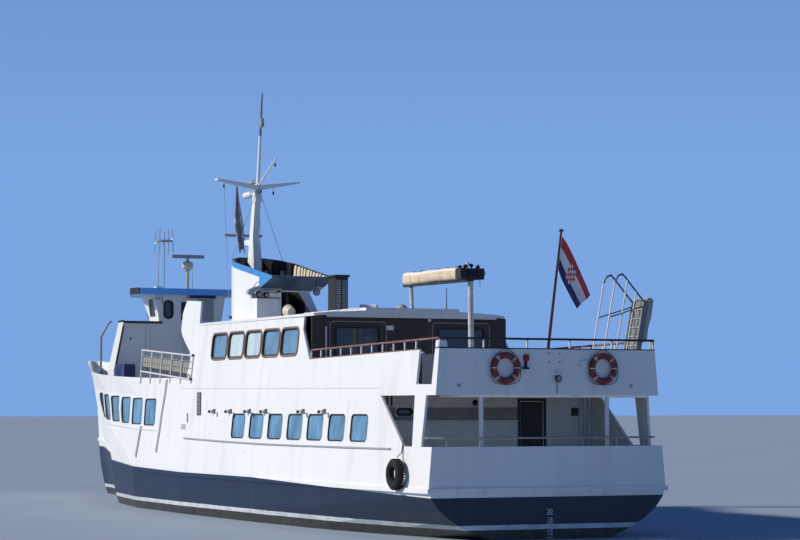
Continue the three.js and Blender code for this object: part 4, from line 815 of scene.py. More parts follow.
def side_fittings():
    """Floodlights over the lower windows, the louvre grille and small marks on the side."""
    lamps, grille = Shape(), Shape()
    lean = 0.16
    for side in (1, -1):
        place = on_side(side)
        for x in (-3.52, -4.83, -6.29, -7.48, -10.07, -11.45):
            lamps.plate(rect(x - 0.05, x + 0.05, 2.90, 3.02), place, 0.035)
            for bends, radius in ((((0.0, 2.96, 0.02), (-0.05, 2.98, 0.11), (-0.20, 2.98, 0.15)), 0.014),
                                  (((0.0, 2.96, 0.02), (0.07, 2.97, 0.10), (0.15, 2.98, 0.11)), 0.012)):
                lamps.tube([place(x + dx, z, out) for dx, z, out in bends], radius)
            lamps.turned(place(x - 0.20, 3.0, 0.15),
                         [(0.03, 0.0), (0.045, 0.03), (0.06, 0.09), (0.052, 0.095)], DOWN, 14, 1)
            lamps.turned(place(x + 0.15, 2.99, 0.11),
                         [(0.025, 0.0), (0.035, 0.02), (0.035, 0.08)], DOWN, 12)
        raked = [(-2.44, 2.84), (-2.10, 2.84), (-2.10 + lean, 3.50), (-2.44 + lean, 3.50)]
        grille.plate(raked, place, 0.010, 1)
        for i in range(17):
            z = 2.87 + i * 0.0375
            x = -2.42 + lean * (z - 2.84) / 0.66
            grille.plate(rect(x, x + 0.31, z, z + 0.016), place, 0.024, 0, 0.008)
        grille.tube([place(-1.39, 2.64, 0.02), place(-1.31, 2.90, 0.02)], 0.018, 8, 2)
        for i in range(5):
            z = 2.44 + i * 0.03
            grille.plate(rect(-1.23, -0.85, z, z + 0.015), place, 0.012, 2)
    lamps.make("side_floodlights", [BLACK, GREY], bevel=0.003)
    grille.make("side_grilles", [GREY, BLACK, GREY])


# Stern

DRAFT_MARKS = (("20", 0.60), ("18", 0.40), ("16", 0.21), ("14", 0.06))


def stern_marks():
    """Draft numbers down the middle of the stern, each over a short bar."""
    bars = Shape()
    for i, (mark, z) in enumerate(DRAFT_MARKS):
        data = bpy.data.curves.new(f"draft_mark_{i}", "FONT")
        data.body = mark
        data.size = 0.15
        data.extrude = 0.001
        data.align_x = "CENTER"
        data.materials.append(RAIL_WHITE)
        obj = place_object(f"draft_mark_{i}", data)
        obj.rotation_euler = (math.radians(90), 0, math.radians(-90))
        obj.location = (STERN_X - 0.003, 0.0, z)
        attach(obj, SHIP)
        bars.plate(rect(-0.09, 0.09, z - 0.035, z - 0.02), on_plane(STERN_X), 0.003, 0, -0.001)
    bars.make("draft_mark_bars", RAIL_WHITE)


def lifebuoy_lines():
    """Grab lines that stand off the rings in three loops, and the brackets that hold the rings."""
    lines, brackets = Shape(), Shape()
    for y in BUOY_YS:
        path = []
        for angle in range(0, 360, 5):
            turn = math.radians(angle)
            bulge = sum(math.exp(-(((angle - at + 180) % 360 - 180) / 22) ** 2) for at in (223, 317, 90))
            radius = 0.383 + 0.06 * bulge
            path.append((STERN_X - 0.085, y + radius * math.cos(turn), BUOY_Z + radius * math.sin(turn)))
        lines.tube(path, 0.009, 6, closed=True)
        for turn in (math.radians(angle) for angle in (45, 135, 225, 315)):
            across = Vector((0, math.cos(turn), math.sin(turn)))
            centre = Vector((STERN_X - 0.07, y, BUOY_Z)) + across * 0.30
            lines.tube([centre + Vector((-0.079 * c, 0, 0)) + across * (0.079 * s) for c, s in circle(16)],
                       0.008, 6, closed=True)
        for dy in (-0.30, 0.30):
            brackets.tube([(STERN_X + 0.002, y + dy, 3.90), (STERN_X - 0.15, y + dy, 3.885),
                           (STERN_X - 0.155, y + dy, 3.93)], 0.008, 8)
    lines.make("lifebuoy_grab_lines", ROPE)
    brackets.make("lifebuoy_brackets", STEEL)


def stern_fittings():
    """Lamps, boxes and bolts on the stern bulwark, and the locker at its port corner."""
    shape = Shape()
    place = on_plane(STERN_X)
    shape.plate(rounded(0.55, 0.69, 4.13, 4.29, 0.045), place, 0.055, 2)
    shape.plate(rounded(-0.97, -0.81, 4.01, 4.15, 0.02), place, 0.07)
    shape.plate(rounded(-0.95, -0.83, 4.03, 4.13, 0.015), place, 0.078, 0, 0.068)
    for proud, y0, y1, z0, z1, slot in (
            (0.05, 0.60, 0.66, 3.99, 4.13, 1), (0.10, 0.57, 0.71, 3.945, 3.99, 1),
            (0.07, -0.29, -0.13, 3.81, 3.86, 0), (0.045, -0.26, -0.20, 3.86, 3.95, 0)):
        shape.plate(rect(y0, y1, z0, z1), place, proud, slot)
    shape.turned((STERN_X - 0.05, 0.62, 4.21), [(0.055, 0.0), (0.05, 0.02), (0.03, 0.035)], ASTERN, 16, 2)
    shape.turned((STERN_X + 0.001, -0.21, 3.73), [(0.035, 0.0), (0.045, 0.02), (0.078, 0.04), (0.085, 0.085),
                                                  (0.07, 0.10)], ASTERN, 20, 1)
    shape.turned((STERN_X - 0.099, -0.21, 3.73), [(0.066, 0.0), (0.05, 0.012), (0.02, 0.018)], ASTERN, 20, 4)
    wire = [(0.03, -0.21, 3.66), (0.012, -0.205, 3.60), (0.009, -0.20, 3.37)]
    shape.tube([(STERN_X - out, y, z) for out, y, z in wire], 0.009, 6, 1)
    for y in (-0.27, 0.0):
        for z in (4.12, 4.31):
            shape.plate(rounded(y - 0.022, y + 0.022, z - 0.022, z + 0.022, 0.006), place, 0.014, 3)
    for y in (-2.2, 2.35):
        shape.turned((STERN_X + 0.001, y, 3.56), [(0.04, 0.0), (0.045, 0.02), (0.03, 0.024)], ASTERN, 14, 3)
    shape.make("stern_fittings", [PANEL_WHITE, BLACK, LAMP_RED, STEEL, LENS], bevel=0.004)
    locker = Shape()
    locker.loft([[(x, y, 4.437) for x, y in rect(-17.58, -17.40, 2.62, 2.86)],
                 [(x, y, 4.60) for x, y in rect(-17.57, -17.42, 2.64, 2.85)]])
    locker.make("corner_locker", PANEL_WHITE, bevel=0.012)


def after_deck():
    """Bands, trim, door frame and pipes on the bulkhead behind the after deck."""
    shape = Shape()
    wall = on_plane(BULKHEAD_X)
    for y0, y1, z0, z1, proud, slot in (
            (-0.82, 2.03, 2.74, 3.06, 0.004, 0), (2.52, 3.0, 2.74, 3.06, 0.004, 0),
            (2.03, 2.52, 2.74, 2.84, 0.004, 0), (-0.82, 2.9, 3.06, 3.085, 0.016, 1),
            (-0.80, 1.76, 2.33, 2.64, 0.012, 1),
            (1.80, 2.9, 2.10, 2.64, 0.010, 2), (-2.46, -1.58, 1.30, 3.12, 0.010, 2),
            (-1.58, -1.52, 1.27, 3.26, 0.03, 3), (-0.85, -0.80, 1.27, 3.26, 0.03, 3),
            (-1.58, -0.80, 3.22, 3.28, 0.03, 3)):
        shape.plate(rect(y0, y1, z0, z1), wall, proud, slot)
    y = -0.80
    for wide, gap in ((0.55, 0.06), (0.62, 0.10), (0.20, 0.05), (0.75, 0.08), (0.50, 0.12), (0.35, 0.05)):
        shape.plate(rect(y, y + wide, 2.715, 2.745), wall, 0.03, 1)
        y += wide + gap
    for y, radius in ((-2.55, 0.03), (-2.66, 0.018), (-2.80, 0.035), (-2.88, 0.018)):
        shape.tube([(BULKHEAD_X - 0.04, y, 1.27), (BULKHEAD_X - 0.04, y, 3.385)], radius, 10, 1)
    for y in (2.62, 2.74):
        shape.tube([(BULKHEAD_X - 0.02, y, 3.1), (BULKHEAD_X - 0.02, y, 3.385)], 0.018, 8, 3)
    shape.box(BULKHEAD_X - 0.11, BULKHEAD_X + 0.001, -2.44, -2.30, 2.85, 3.05, 3)
    shape.turned((BULKHEAD_X + 0.001, 0.38, 3.17), [(0.07, 0.0), (0.075, 0.03), (0.05, 0.07), (0.02, 0.08)],
                 ASTERN, 18, 3)
    for x in (-16.6, -15.6):
        shape.box(x - 0.07, x + 0.07, -0.35, 0.35, 3.355, 3.3995, 1)
    shape.make("after_deck_fittings", [BAND_GREY, PANEL_WHITE, BULKHEAD, BLACK], bevel=0.003)


def saloon_wall():
    """Frames, lamps and a blank plate on the after wall of the upper saloon."""
    shape = Shape()
    wall = on_plane(SALOON_WALL_X)
    for y0, y1 in ((0.70, 2.32), (-2.32, -0.62)):
        shape.ring(rounded(y0, y1, 4.22, 5.30, 0.12), rounded(y0 + 0.018, y1 - 0.018, 4.238, 5.282, 0.105),
                   wall, -0.002, 0.012, 0)
    shape.plate(rounded(0.50, 0.72, 5.08, 5.20, 0.01), wall, 0.012, 1)
    shape.plate(rounded(2.40, 2.44, 4.36, 5.16, 0.015), wall, 0.02, 1)
    shape.turned((SALOON_WALL_X + 0.001, -0.52, 5.36),
                 [(0.03, 0.0), (0.05, 0.02), (0.045, 0.06), (0.02, 0.075)], ASTERN, 16, 1)
    for y in (0.50, 0.58):
        shape.turned((SALOON_WALL_X + 0.001, y, 4.60), [(0.025, 0.0), (0.025, 0.015)], ASTERN, 12, 2)
    shape.make("saloon_wall_fittings", [GREY, PANEL_WHITE, STEEL], bevel=0.002)


# Roof, funnel and mast

def roof_fittings():
    """A second vent, a hatch, a whip aerial and grab bars on the saloon roof."""
    shape = Shape()
    vent = [(0.16, 0.0), (0.18, 0.03), (0.178, 0.09), (0.15, 0.17), (0.09, 0.23), (0.02, 0.25)]
    shape.turned((-7.0, -1.07, COAMING_Z), vent, sides=28)
    shape.box(-6.75, -6.45, -1.2, -0.94, COAMING_Z, 5.75, 1)
    shape.turned((-7.5, -2.2, 5.53), [(0.035, 0.0), (0.03, 0.05), (0.012, 0.10)], sides=12, slot=1)
    shape.tube([(-7.5, -2.2, 5.60), (-7.5, -2.2, 6.36)], lambda t: 0.018 - 0.008 * t, 8, 2)
    for x in (-9.6, -8.3, -7.0):
        shape.tube([(x, 1.37, 5.655), (x + 1.15, 1.37, 5.655)], 0.012, 8, 1)
    shape.make("roof_fittings", [GREY, PANEL_WHITE, BLACK], bevel=0.004)


def louvres():
    """Slats and flange of the louvred box."""
    shape = Shape()
    place = on_plane(LOUVRE_X)
    for i in range(17):
        z = 5.80 + i * 0.052
        for y0, y1, proud in ((-0.30, -0.13, 0.02), (-0.10, 0.045, 0.004)):
            shape.loft([[place(y, h, -0.002) for y, h in rect(y0, y1, z, z + 0.028)],
                        [place(y, h, proud) for y, h in rect(y0, y1, z - 0.012, z)]])
    shape.box(-5.035, -4.425, -0.345, 0.08, 6.765, 6.80, 1)
    shape.box(-5.012, -4.999, -0.125, -0.105, 5.72, 6.765, 1)
    shape.make("louvre_slats", [GREY, BLACK], bevel=0.002)


def funnel_top(x):
    return FUNNEL_AFT_Z + FUNNEL_RISE * (x - FUNNEL_AFT_X)


def funnel_fittings():
    """Cover, lamps and horns on the block, slats inside the starboard wall and a hanging lamp."""
    shape = Shape()
    cover = [(1.34, 6.40), (1.30, 6.52), (1.10, 6.60), (0.85, 6.67), (0.60, 6.66), (0.28, 6.58),
             (0.28, 6.50), (0.60, 6.54), (0.85, 6.53), (1.08, 6.46), (1.22, 6.37)]
    shape.loft([[(x, y, z) for y, z in cover] for x in (-1.46, BLOCK_X)])
    shape.tube([(-1.40, 1.24, 6.46), (-1.40, 1.05, 6.72), (-1.40, 0.98, 6.76), (-1.40, 0.92, 6.72),
                (-1.40, 0.96, 6.62)], 0.010, 8, 2)
    shape.tube([(-1.44, 1.18, 6.28), (-1.44, 0.30, 6.28)], 0.016, 8, 2)
    for y, z, r, slot in ((1.16, 6.34, 0.09, 3), (0.97, 6.38, 0.10, 2), (0.73, 6.37, 0.085, 2),
                          (0.31, 6.50, 0.05, 2)):
        horn = [(r * 0.5, 0.0), (r, 0.05), (r, 0.16), (r * 0.8, 0.185)]
        shape.turned((BLOCK_X, y, z), horn, ASTERN, 18, slot)
        shape.turned((-1.446, y, z), [(r * 0.78, 0.0), (r * 0.4, 0.014)], ASTERN, 18, 4)
    shape.turned((-1.37, 0.66, 6.40), [(0.07, 0.0), (0.045, 0.06), (0.035, 0.12), (0.035, 0.32)],
                 (0, -1, 0), 16, 3)
    shape.box(-1.42, BLOCK_X, 0.30, 0.40, 6.34, 6.44, 3)
    for y in (1.12, 0.97, 0.73, 0.45):
        shape.tube([(-1.44, y, 6.28), (BLOCK_X, y, 6.28)], 0.012, 8, 2)
    shape.tube([(-1.27, 0.30, 6.28), (-1.275, 0.245, 6.0), (-1.275, 0.225, 5.7)], 0.013, 8, 3)
    shape.tube([(-2.3, -0.476, 6.88), (-2.3, -0.476, 6.55)], 0.014, 8, 2)
    shape.turned((-2.30, -0.476, 6.44), [(0.06, -0.06), (0.10, -0.04), (0.115, 0.03), (0.10, 0.06)],
                 ASTERN, 20, 2)
    shape.turned((-2.36, -0.476, 6.44), [(0.095, 0.0), (0.05, 0.018)], ASTERN, 20, 4)
    x = -2.30
    for wide in (0.16, 0.13, 0.20, 0.14, 0.18, 0.16, 0.12, 0.22, 0.16, 0.14, 0.24, 0.18):
        top = funnel_top(x) - 0.012
        shape.loft([[(u, y, 6.835) for u, y in rect(x, x + wide, -0.915, -0.86)],
                    [(u - 0.05, y, top) for u, y in rect(x, x + wide, -0.917, -0.895)]], 1)
        x += wide + 0.07
    shape.make("funnel_fittings", [COVER_GREY, SLAT_CREAM, BLACK, PANEL_WHITE, LENS], bevel=0.004)


def funnel_leg():
    """Blue-grey raked plate on the after edge of the funnel's starboard leg: white paint with painted shade.
    """
    shape = Shape()
    outline = [(-0.32, 6.48), (-0.67, 6.48), (-0.97, 5.87), (-1.10, 5.64), (-0.86, 5.64), (-0.74, 5.87)]
    shape.plate(outline, on_plane(BLOCK_X), 0.02)
    shape.make("funnel_leg_plate", LEG_SHADE_GREY, bevel=0.004)


def mast_fittings():
    """Lamps on the mast, stays, the gaff's line and the flag halyard."""
    lamps, wires = Shape(), Shape()
    for x, z, profile, slot in (
            (1.28, 9.62, [(0.035, 0.0), (0.035, 0.42), (0.09, 0.46), (0.10, 0.70), (0.085, 0.75)], 0),
            (2.03, 9.62, [(0.08, 0.0), (0.10, 0.03), (0.10, 0.26), (0.06, 0.33)], 1),
            (1.30, 9.98, [(0.03, 0.0), (0.03, 0.26), (0.07, 0.30), (0.075, 0.56), (0.05, 0.60)], 2)):
        lamps.turned((x, 0.0, z), profile, AHEAD, 18, slot)
    lamps.turned((0.90, 0.0, 11.62), [(0.05, 0.0), (0.065, 0.03), (0.065, 0.12), (0.05, 0.15), (0.06, 0.18),
                                      (0.055, 0.25), (0.02, 0.27)], sides=16, slot=2)
    for x0, x1, half, z0, z1, slot in (
            (1.14, 1.34, 0.11, 9.34, 9.56, 0), (1.02, 1.16, 0.06, 9.60, 9.70, 2),
            (0.90, 1.03, 0.02, 11.60, 11.63, 2), (0.90, 1.03, 0.02, 11.80, 11.83, 0)):
        lamps.box(x0, x1, -half, half, z0, z1, slot)
    lamps.tube([(1.15, 0.0, 10.95), (1.17, 0.0, 11.0), (1.12, 0.0, 11.42), (1.05, 0.0, 11.46)], 0.014, 8, 2)
    for x, y, z in ((-0.20, 0.0, 10.40), (1.25, -0.52, 9.68), (1.25, 1.10, 9.84)):
        lamps.turned((x, y, z), [(0.01, 0.0), (0.03, -0.02), (0.03, -0.08), (0.01, -0.10)], sides=12, slot=3)
        lamps.tube([(x, y, z - 0.01), (x, y, z + 0.13)], 0.006, 6, 3)
    lamps.box(1.20, 1.30, 0.82, 0.90, 5.76, 5.84, 3)
    for ends in (((1.20, -0.08, 9.58), (1.25, -0.83, 7.562)), ((1.20, 0.08, 9.58), (1.25, 0.83, 7.562)),
                 ((1.28, -0.07, 9.28), (1.87, -0.36, 7.672)), ((1.10, 0.0, 10.85), (-0.22, 0.0, 10.53)),
                 ((1.25, 1.10, 9.96), (1.25, 0.89, 5.80))):
        wires.tube(ends, 0.008, 6)
    lamps.make("mast_lamps", [WHITE, PANEL_WHITE, GREY, BLACK], bevel=0.003)
    wires.make("mast_stays", STEEL)


# Well deck, forward house and wheelhouse

def well_fittings():
    """Thin bars, boards and netting behind the well rails."""
    shape = Shape()
    x0, x1 = WELL_RAIL_X

    def top(x):
        return 4.56 + 0.27 * (x - x0) / (x1 - x0)

    def low(x):
        return 3.87 + 0.31 * (x - x0) / (x1 - x0)

    for side in (1, -1):
        place = on_side(side)
        for part in (0.75, 0.48):
            heights = spaced(x0, x1, 6, lambda x: low(x) + part * (top(x) - low(x)))
            shape.tube([place(x, z, 0.035) for x, z in heights], 0.009)
        for i in range(20):
            x = x0 + 0.06 + i * (x1 - x0 - 0.06) / 20
            shape.plate([(x, low(x) + 0.15), (x + 0.185, low(x + 0.185) + 0.15), (x + 0.185, top(x) - 0.17),
                         (x, top(x) - 0.19)], place, -0.015, 1, -0.035)
            for a, b in ((0.02, 0.15), (0.15, 0.02)):
                net = place(x, low(x) + a, 0.005), place(x + 0.2, low(x + 0.2) + b, 0.005)
                shape.tube(net, 0.010, 6, 2)
        for z in (top(x0), low(x0)):
            shape.turned(place(x0 - 0.02, z + 0.02, 0.04), [(0.01, -0.045), (0.035, -0.02), (0.035, 0.02),
                                                            (0.01, 0.045)], AHEAD, 12, 2)
    shape.make("well_rail_boards", [GREY, BAND_GREY, BLACK])


def band(shape, path, z0, z1, inner, outer, slot=0):
    """An upright strip along a plan path of x and y, between two distances out from it."""
    loops = []
    for i, (x, y) in enumerate(path):
        (xa, ya), (xb, yb) = path[max(0, i - 1)], path[min(len(path) - 1, i + 1)]
        out = Vector((yb - ya, xa - xb, 0.0)).normalized()
        out = out if out.dot(Vector((x - 6.0, y, 0.0))) > 0 else -out
        near, far = Vector((x, y, 0.0)) + out * inner, Vector((x, y, 0.0)) + out * outer
        loops.append([(near.x, near.y, z0), (far.x, far.y, z0), (far.x, far.y, z1), (near.x, near.y, z1)])
    shape.loft(loops, slot)


def house_edge(z):
    """Half breadth of the forward house's after wall."""
    return 2.6 - 0.1962 * (z - 4.3)


def house_fittings():
    """Trim of the forward house and wheelhouse, roof edge ends, blind and small lamps."""
    shape = Shape()
    wall = on_plane(HOUSE_WALL_X)
    corners = ((-0.07, 4.45), (0.0, 4.45), (0.0, 5.72), (-0.07, 5.72))
    shape.plate([(house_edge(z) + out, z) for out, z in corners], wall, 0.010)
    for y0, y1, z0, z1, proud, slot in (
            (1.525, 1.54, 4.45, 5.72, 0.004, 1), (0.98, 2.28, 5.80, 5.875, 0.045, 2),
            (0.14, 0.32, 5.93, 6.52, 0.012, 3)):
        shape.plate(rect(y0, y1, z0, z1), wall, proud, slot)
    shape.turned((HOUSE_WALL_X + 0.001, 2.05, 5.30), [(0.03, 0.0), (0.035, 0.02), (0.02, 0.03)],
                 ASTERN, 12, 3)
    for side in (1, -1):
        plan = [(7.30, side * 2.30), (8.05, side * 2.21), (9.5, side * 1.46), (10.2, side * 0.61)]
        band(shape, plan, 5.84, 5.905, -0.03, 0.02, 2)
        # Black ends of the roof edge; at starboard the black stands in for a shadow, a painted shadow.
        ends = [(7.075, side * (1.82 if side > 0 else 1.5)), (7.075, side * 1.85), (7.177, side * 1.913),
                (7.65, side * 1.953), (8.3, side * 1.745)]
        band(shape, ends, 6.742, 6.958, -0.004, 0.006, 3)
    shape.tube([(7.19, -0.80, 6.69), (7.19, 0.06, 6.69)], 0.045, 14, 4)
    for y in (-0.84, 0.08):
        shape.box(7.14, HOUSE_WALL_X + 0.001, y, y + 0.025, 6.64, 6.745, 1)
    shape.tube([(7.12, 1.02, 6.70), (7.12, 1.02, 6.52), (7.22, 1.0, 6.45)], 0.012, 8, 3)
    shape.tube([(7.24, 1.30, 6.62), (7.24, 1.05, 6.62)], 0.022, 10, 1)
    shape.make("house_trim", [CAP_BROWN, GREY, DOOR_BROWN, BLACK, BLUE_BOX], bevel=0.003)


def bridge_roof_fittings():
    """Two whip aerials, a box and the pads along the front of the wheelhouse roof."""
    roof = Shape()
    roof.turned((7.9, 0.9, BRIDGE_ROOF_Z), [(0.05, 0.0), (0.045, 0.02), (0.016, 0.05)], sides=14)
    roof.tube([(7.9, 0.9, 6.99), (7.9, 0.9, 9.0)], lambda t: 0.014 - 0.009 * t)
    roof.tube([(8.8, -0.6, 6.949), (8.8, -0.6, 7.8)], lambda t: 0.012 - 0.007 * t)
    roof.box(8.45, 8.65, 0.55, 0.80, BRIDGE_ROOF_Z, 7.08, 1)
    for i in range(7):
        y = -1.2 + i * 0.4
        pad = (9.9 - 0.35 * abs(y), y, BRIDGE_ROOF_Z)
        roof.turned(pad, [(0.03, 0.0), (0.03, 0.03), (0.02, 0.05)], sides=10, slot=1)
    roof.make("wheelhouse_roof_fittings", [STEEL, WHITE])


def deck_bin():
    """Blue plastic bin at the port side of the well deck."""
    shape = Shape()
    outline = rounded(6.72, 7.22, 2.05, 2.47, 0.08)
    centre = (6.97, 2.26)
    shape.loft([[tuple(c + (p - c) * share for p, c in zip(point, centre)) + (z,) for point in outline]
                for share, z in ((1.0, UPPER_FLOOR_Z + 0.001), (1.0, 4.40), (0.94, 4.46))])
    shape.make("deck_bin", BLUE_BOX, bevel=0.01)


# Gangway, crosshead, tyre and chain

def on_gangway(x, inboard, up):
    """A place given along the leaning gangway, as its solid is built."""
    cos, sin = math.cos(GANGWAY_LEAN), math.sin(GANGWAY_LEAN)
    return x, GANGWAY_Y + inboard * cos - up * sin, GANGWAY_Z + inboard * sin + up * cos


def gangway_fittings():
    """Canvas laced over the outer side of the stowed gangway, its treads and two rail posts."""
    cover, treads, posts = Shape(), Shape(), Shape()
    outline = [(-0.052, 0.98), (-0.052, 1.952), (0.012, 1.99), (-0.02, 2.03), (-0.10, 2.05), (-0.17, 2.0),
               (-0.185, 1.6), (-0.15, 1.3), (-0.17, 0.98)]
    loops = []
    for i in range(13):
        x = -17.275 + 0.59 * i / 12
        puff = 0.02 * math.sin(math.pi * i / 12) + 0.008 * math.sin(i * 2.1)
        loops.append([on_gangway(x, a - (puff if a < -0.06 else 0.0), b) for a, b in outline])
    cover.loft(loops)
    for i in range(8):
        b = 0.18 + i * 0.22
        treads.loft([[on_gangway(x, a, h) for x, h in rect(-17.225, -16.735, b + inset, b + 0.035 - inset)]
                     for a, inset in ((0.008, 0.0), (0.034, 0.004))])
    for a, low, high in ((0.61, 0.235, 2.330), (0.33, 0.179, 2.139)):
        posts.tube([on_gangway(-17.255, a, low), on_gangway(-17.255, a, high)], 0.019, 10)
    cover.make("gangway_cover", COVER_GREY, body="gangway", bevel=0.008)
    treads.make("gangway_treads", GREY, body="gangway")
    posts.make("gangway_rail_posts", RAIL_WHITE, body="gangway")


def crosshead_lamps():
    """Dark floodlights and gear bundled round the after crosshead of the awning."""
    shape = Shape()
    for y, z, tilt, slot in ((0.27, 6.55, 0.3, 0), (0.13, 6.58, -0.2, 0), (-0.05, 6.60, 0.5, 0),
                             (-0.22, 6.57, -0.3, 0), (-0.31, 6.47, 0.2, 0), (0.06, 6.63, 0.0, 1)):
        shape.turned((-13.40, y, z), [(0.025, -0.04), (0.042, -0.03), (0.05, 0.035), (0.04, 0.05)],
                     (-1, tilt, 0.3), 14, slot)
        shape.tube([(-13.40, y, 6.50), (-13.40, y, z)], 0.012)
    for y, z in ((0.24, 6.40), (0.02, 6.36), (-0.22, 6.39)):
        shape.plate(rounded(y - 0.10, y + 0.10, z - 0.085, z + 0.09, 0.03), on_plane(-13.559), 0.03)
    for i in range(7):
        y = 0.30 - i * 0.1
        shape.tube([(-13.585, y, 6.50), (-13.60, y - 0.04, 6.40), (-13.585, y + 0.02, 6.28)], 0.012)
    shape.tube([(-13.42, -0.28, 6.24), (-13.42, -0.28, 6.06)], 0.010, 8, 1)
    shape.make("crosshead_lamps", [BLACK, PANEL_WHITE, LENS], bevel=0.004)


def tyre_details():
    """Tread blocks round the tyre and the strap that holds it."""
    tread, strap = Shape(), Shape()
    y = side_y(TYRE_X, TYRE_Z) + 0.14
    for i in range(36):
        for dy, shift in ((-0.04, 0.0), (0.04, 0.5)):
            turn = turn_of(i + shift, 36)
            radial = Vector((math.cos(turn), 0, math.sin(turn)))
            tangent = Vector((-math.sin(turn), 0, math.cos(turn)))
            centre = Vector((TYRE_X, y + dy, TYRE_Z)) + radial * 0.352
            low = [centre + tangent * u + Vector((0, v, 0)) for u, v in rect(-0.02, 0.02, -0.032, 0.032)]
            tread.loft([low, [corner + radial * 0.014 for corner in low]])
    section = rect(-0.025, 0.025, -0.003, 0.003)
    strap.loft([[(TYRE_X + dx, side_y(TYRE_X, z) + out + dy, z) for dx, dy in section]
                for z, out in ((1.90, 0.15), (1.93, 0.10), (2.00, 0.03), (2.30, 0.012))])
    tread.make("tyre_tread", RUBBER)
    strap.make("tyre_strap", BLACK)


def anchor_chain():
    """Chain from the windlass towards the bow, its links turned in turn."""
    chain = Shape()
    for i in range(26):
        x = 13.45 + i * 0.062
        z = UPPER_DECK_Z + sheer(x) + 0.10
        loop = []
        for c, s in circle(12):
            u, v = 0.045 * c, 0.022 * s
            loop.append((x + u, v, z) if i % 2 else (x + u, 0.0, z + v))
        chain.tube(loop, 0.007, 6, closed=True)
    chain.make("anchor_chain", BLACK)


# Ensign, pennant and awning

def staff_at(z):
    return STAFF_FOOT.lerp(STAFF_HEAD, (z - STAFF_FOOT.z) / (STAFF_HEAD.z - STAFF_FOOT.z))


def ensign():
    """The flag hangs from its hoist in soft folds that deepen towards the fly."""
    columns, rows = 80, 60
    points = []
    for i in range(columns + 1):
        s = i / columns
        top = Vector((0.0, -0.94 * s ** 0.92, -1.33 * s ** 1.1))
        low = Vector((0.0, -0.60 * s ** 1.25, -0.92 * s))
        depth = 0.055 * min(1.0, s * 1.8)
        for j in range(rows + 1):
            t = j / rows
            drop = top.lerp(low, t)
            wave = depth * math.sin(2 * math.pi * (1.4 * t + 0.25 * s) + 0.6)
            lean = -0.245 * drop.z
            shift = Vector((lean + wave, -0.035 - 0.3 * wave * s, 0.0))
            points.append(staff_at(7.03 - 0.74 * t) + drop + shift)
    shape = Shape()
    shape.grid(points, rows)
    shape.slots = [flag_stripe((i + 0.5) / columns, (j + 0.5) / rows)
                   for i in range(columns) for j in range(rows)]
    flag = shape.make("ensign_cloth", [cloth("flag_red", (0.66, 0.05, 0.05)),
                                       cloth("flag_white", (0.86, 0.84, 0.86)),
                                       cloth("flag_blue", (0.018, 0.032, 0.14))], smooth=180)
    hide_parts("ensign")


def flag_stripe(s, t):
    """Red, white and blue as 0, 1 and 2, with a plain chequer over the middle."""
    u, v = (s - 0.34) / 0.05, (t - 0.25) / 0.1
    if 0 <= u < 5 and 0 <= v < 5:
        return (int(u) + int(v)) % 2
    return int(3 * t)


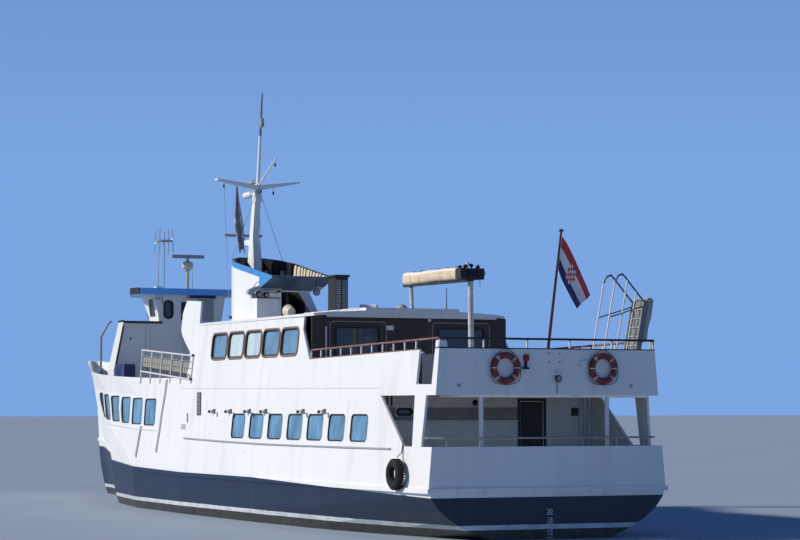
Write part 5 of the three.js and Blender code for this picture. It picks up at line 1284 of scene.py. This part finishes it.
def pennant():
    """A long faded pennant that hangs limp by the mast, pointed above and gathered below."""
    columns, rows = 64, 20
    points = []
    x, y, z = PENNANT_TOP
    for i in range(columns + 1):
        s = i / columns
        centre = Vector((x + 0.02 * math.sin(5 * s), y - 0.16 * s ** 1.5, z - 1.98 * s))
        spread = 0.03 + 0.27 * min(1.0, s / 0.62) ** 0.9 - 0.09 * max(0.0, s - 0.62) / 0.38
        turn = 1.85 + 0.25 * math.sin(6 * s)
        across = Vector((math.cos(turn), -math.sin(turn), 0.0))
        out = Vector((math.sin(turn), math.cos(turn), 0.0))
        depth = 0.012 + 0.038 * s
        for j in range(rows + 1):
            t = j / rows - 0.5
            fold = depth * math.sin(2 * math.pi * (1.6 * t + 0.5 * s)) + 0.015 * s * math.sin(19 * s + 4 * t)
            hem = 0.07 * s ** 6 * math.sin(9 * t + 1.0)
            points.append(centre + across * (spread * t) + out * fold + Vector((0, 0, hem)))
    shape = Shape()
    shape.grid(points, rows)
    flag = shape.make("pennant_cloth", faded_cloth(), smooth=180)
    toggle = Shape()
    toggle.tube([(x, y, z + 0.13), PENNANT_TOP], 0.008, 6)
    toggle.make("pennant_toggle", RAIL_WHITE)


def awning():
    """Rolled awning: a flat-topped roll with close pleats down its sides, clipped to its boom."""
    shape = Shape()
    length, sides = 180, 40
    fore, aft = Vector((-9.66, 0.0, 6.455)), Vector((-12.9, 0.0, 6.435))
    loops = []
    for i in range(length + 1):
        part = i / length
        centre = fore.lerp(aft, part)
        end = min(1.0, 0.80 + 0.20 * min(part, 1 - part) / 0.012)
        loop = []
        for turn in (turn_of(k, sides) for k in range(sides)):
            c, d = math.cos(turn), math.sin(turn)
            square = (abs(c) ** 3 + abs(d) ** 3) ** (-1 / 3)
            below = max(0.0, 0.45 - d) / 1.45
            pleat = 0.006 * below * math.sin(part * 205 + 1.3 * math.sin(part * 31))
            fold = 0.006 * math.sin(2.5 * turn + 7 * part) + 0.004 * math.sin(19 * part)
            radius = 0.150 * square * end + pleat + fold
            wide = 0.98 - 0.10 * max(0.0, d)
            loop.append(centre + Vector((0.0, radius * wide * c, radius * (1.03 if d > 0 else 1.12) * d)))
        loops.append(loop)
    shape.loft(loops)
    roll = shape.make("awning_cloth", roll_paint(), smooth=60)
    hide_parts("awning_roll")
    clips = Shape()
    top = 6.595
    for x in (-10.1, -10.6, -11.6, -12.1, -12.75):
        clips.box(x - 0.10, x + 0.10, -0.035, 0.035, top - 0.012, top + 0.022)
    clips.make("awning_clips", BLACK, bevel=0.006)


dress_solids()
for build in (make_camera, make_light, floor, side_windows, end_windows, house_glass, side_trim,
              side_fittings, stern_marks, lifebuoy_lines, stern_fittings, after_deck, saloon_wall,
              roof_fittings, louvres, funnel_fittings, funnel_leg, mast_fittings, well_fittings,
              house_fittings, bridge_roof_fittings, deck_bin, gangway_fittings, crosshead_lamps,
              tyre_details, anchor_chain, ensign, pennant, awning):
    build()
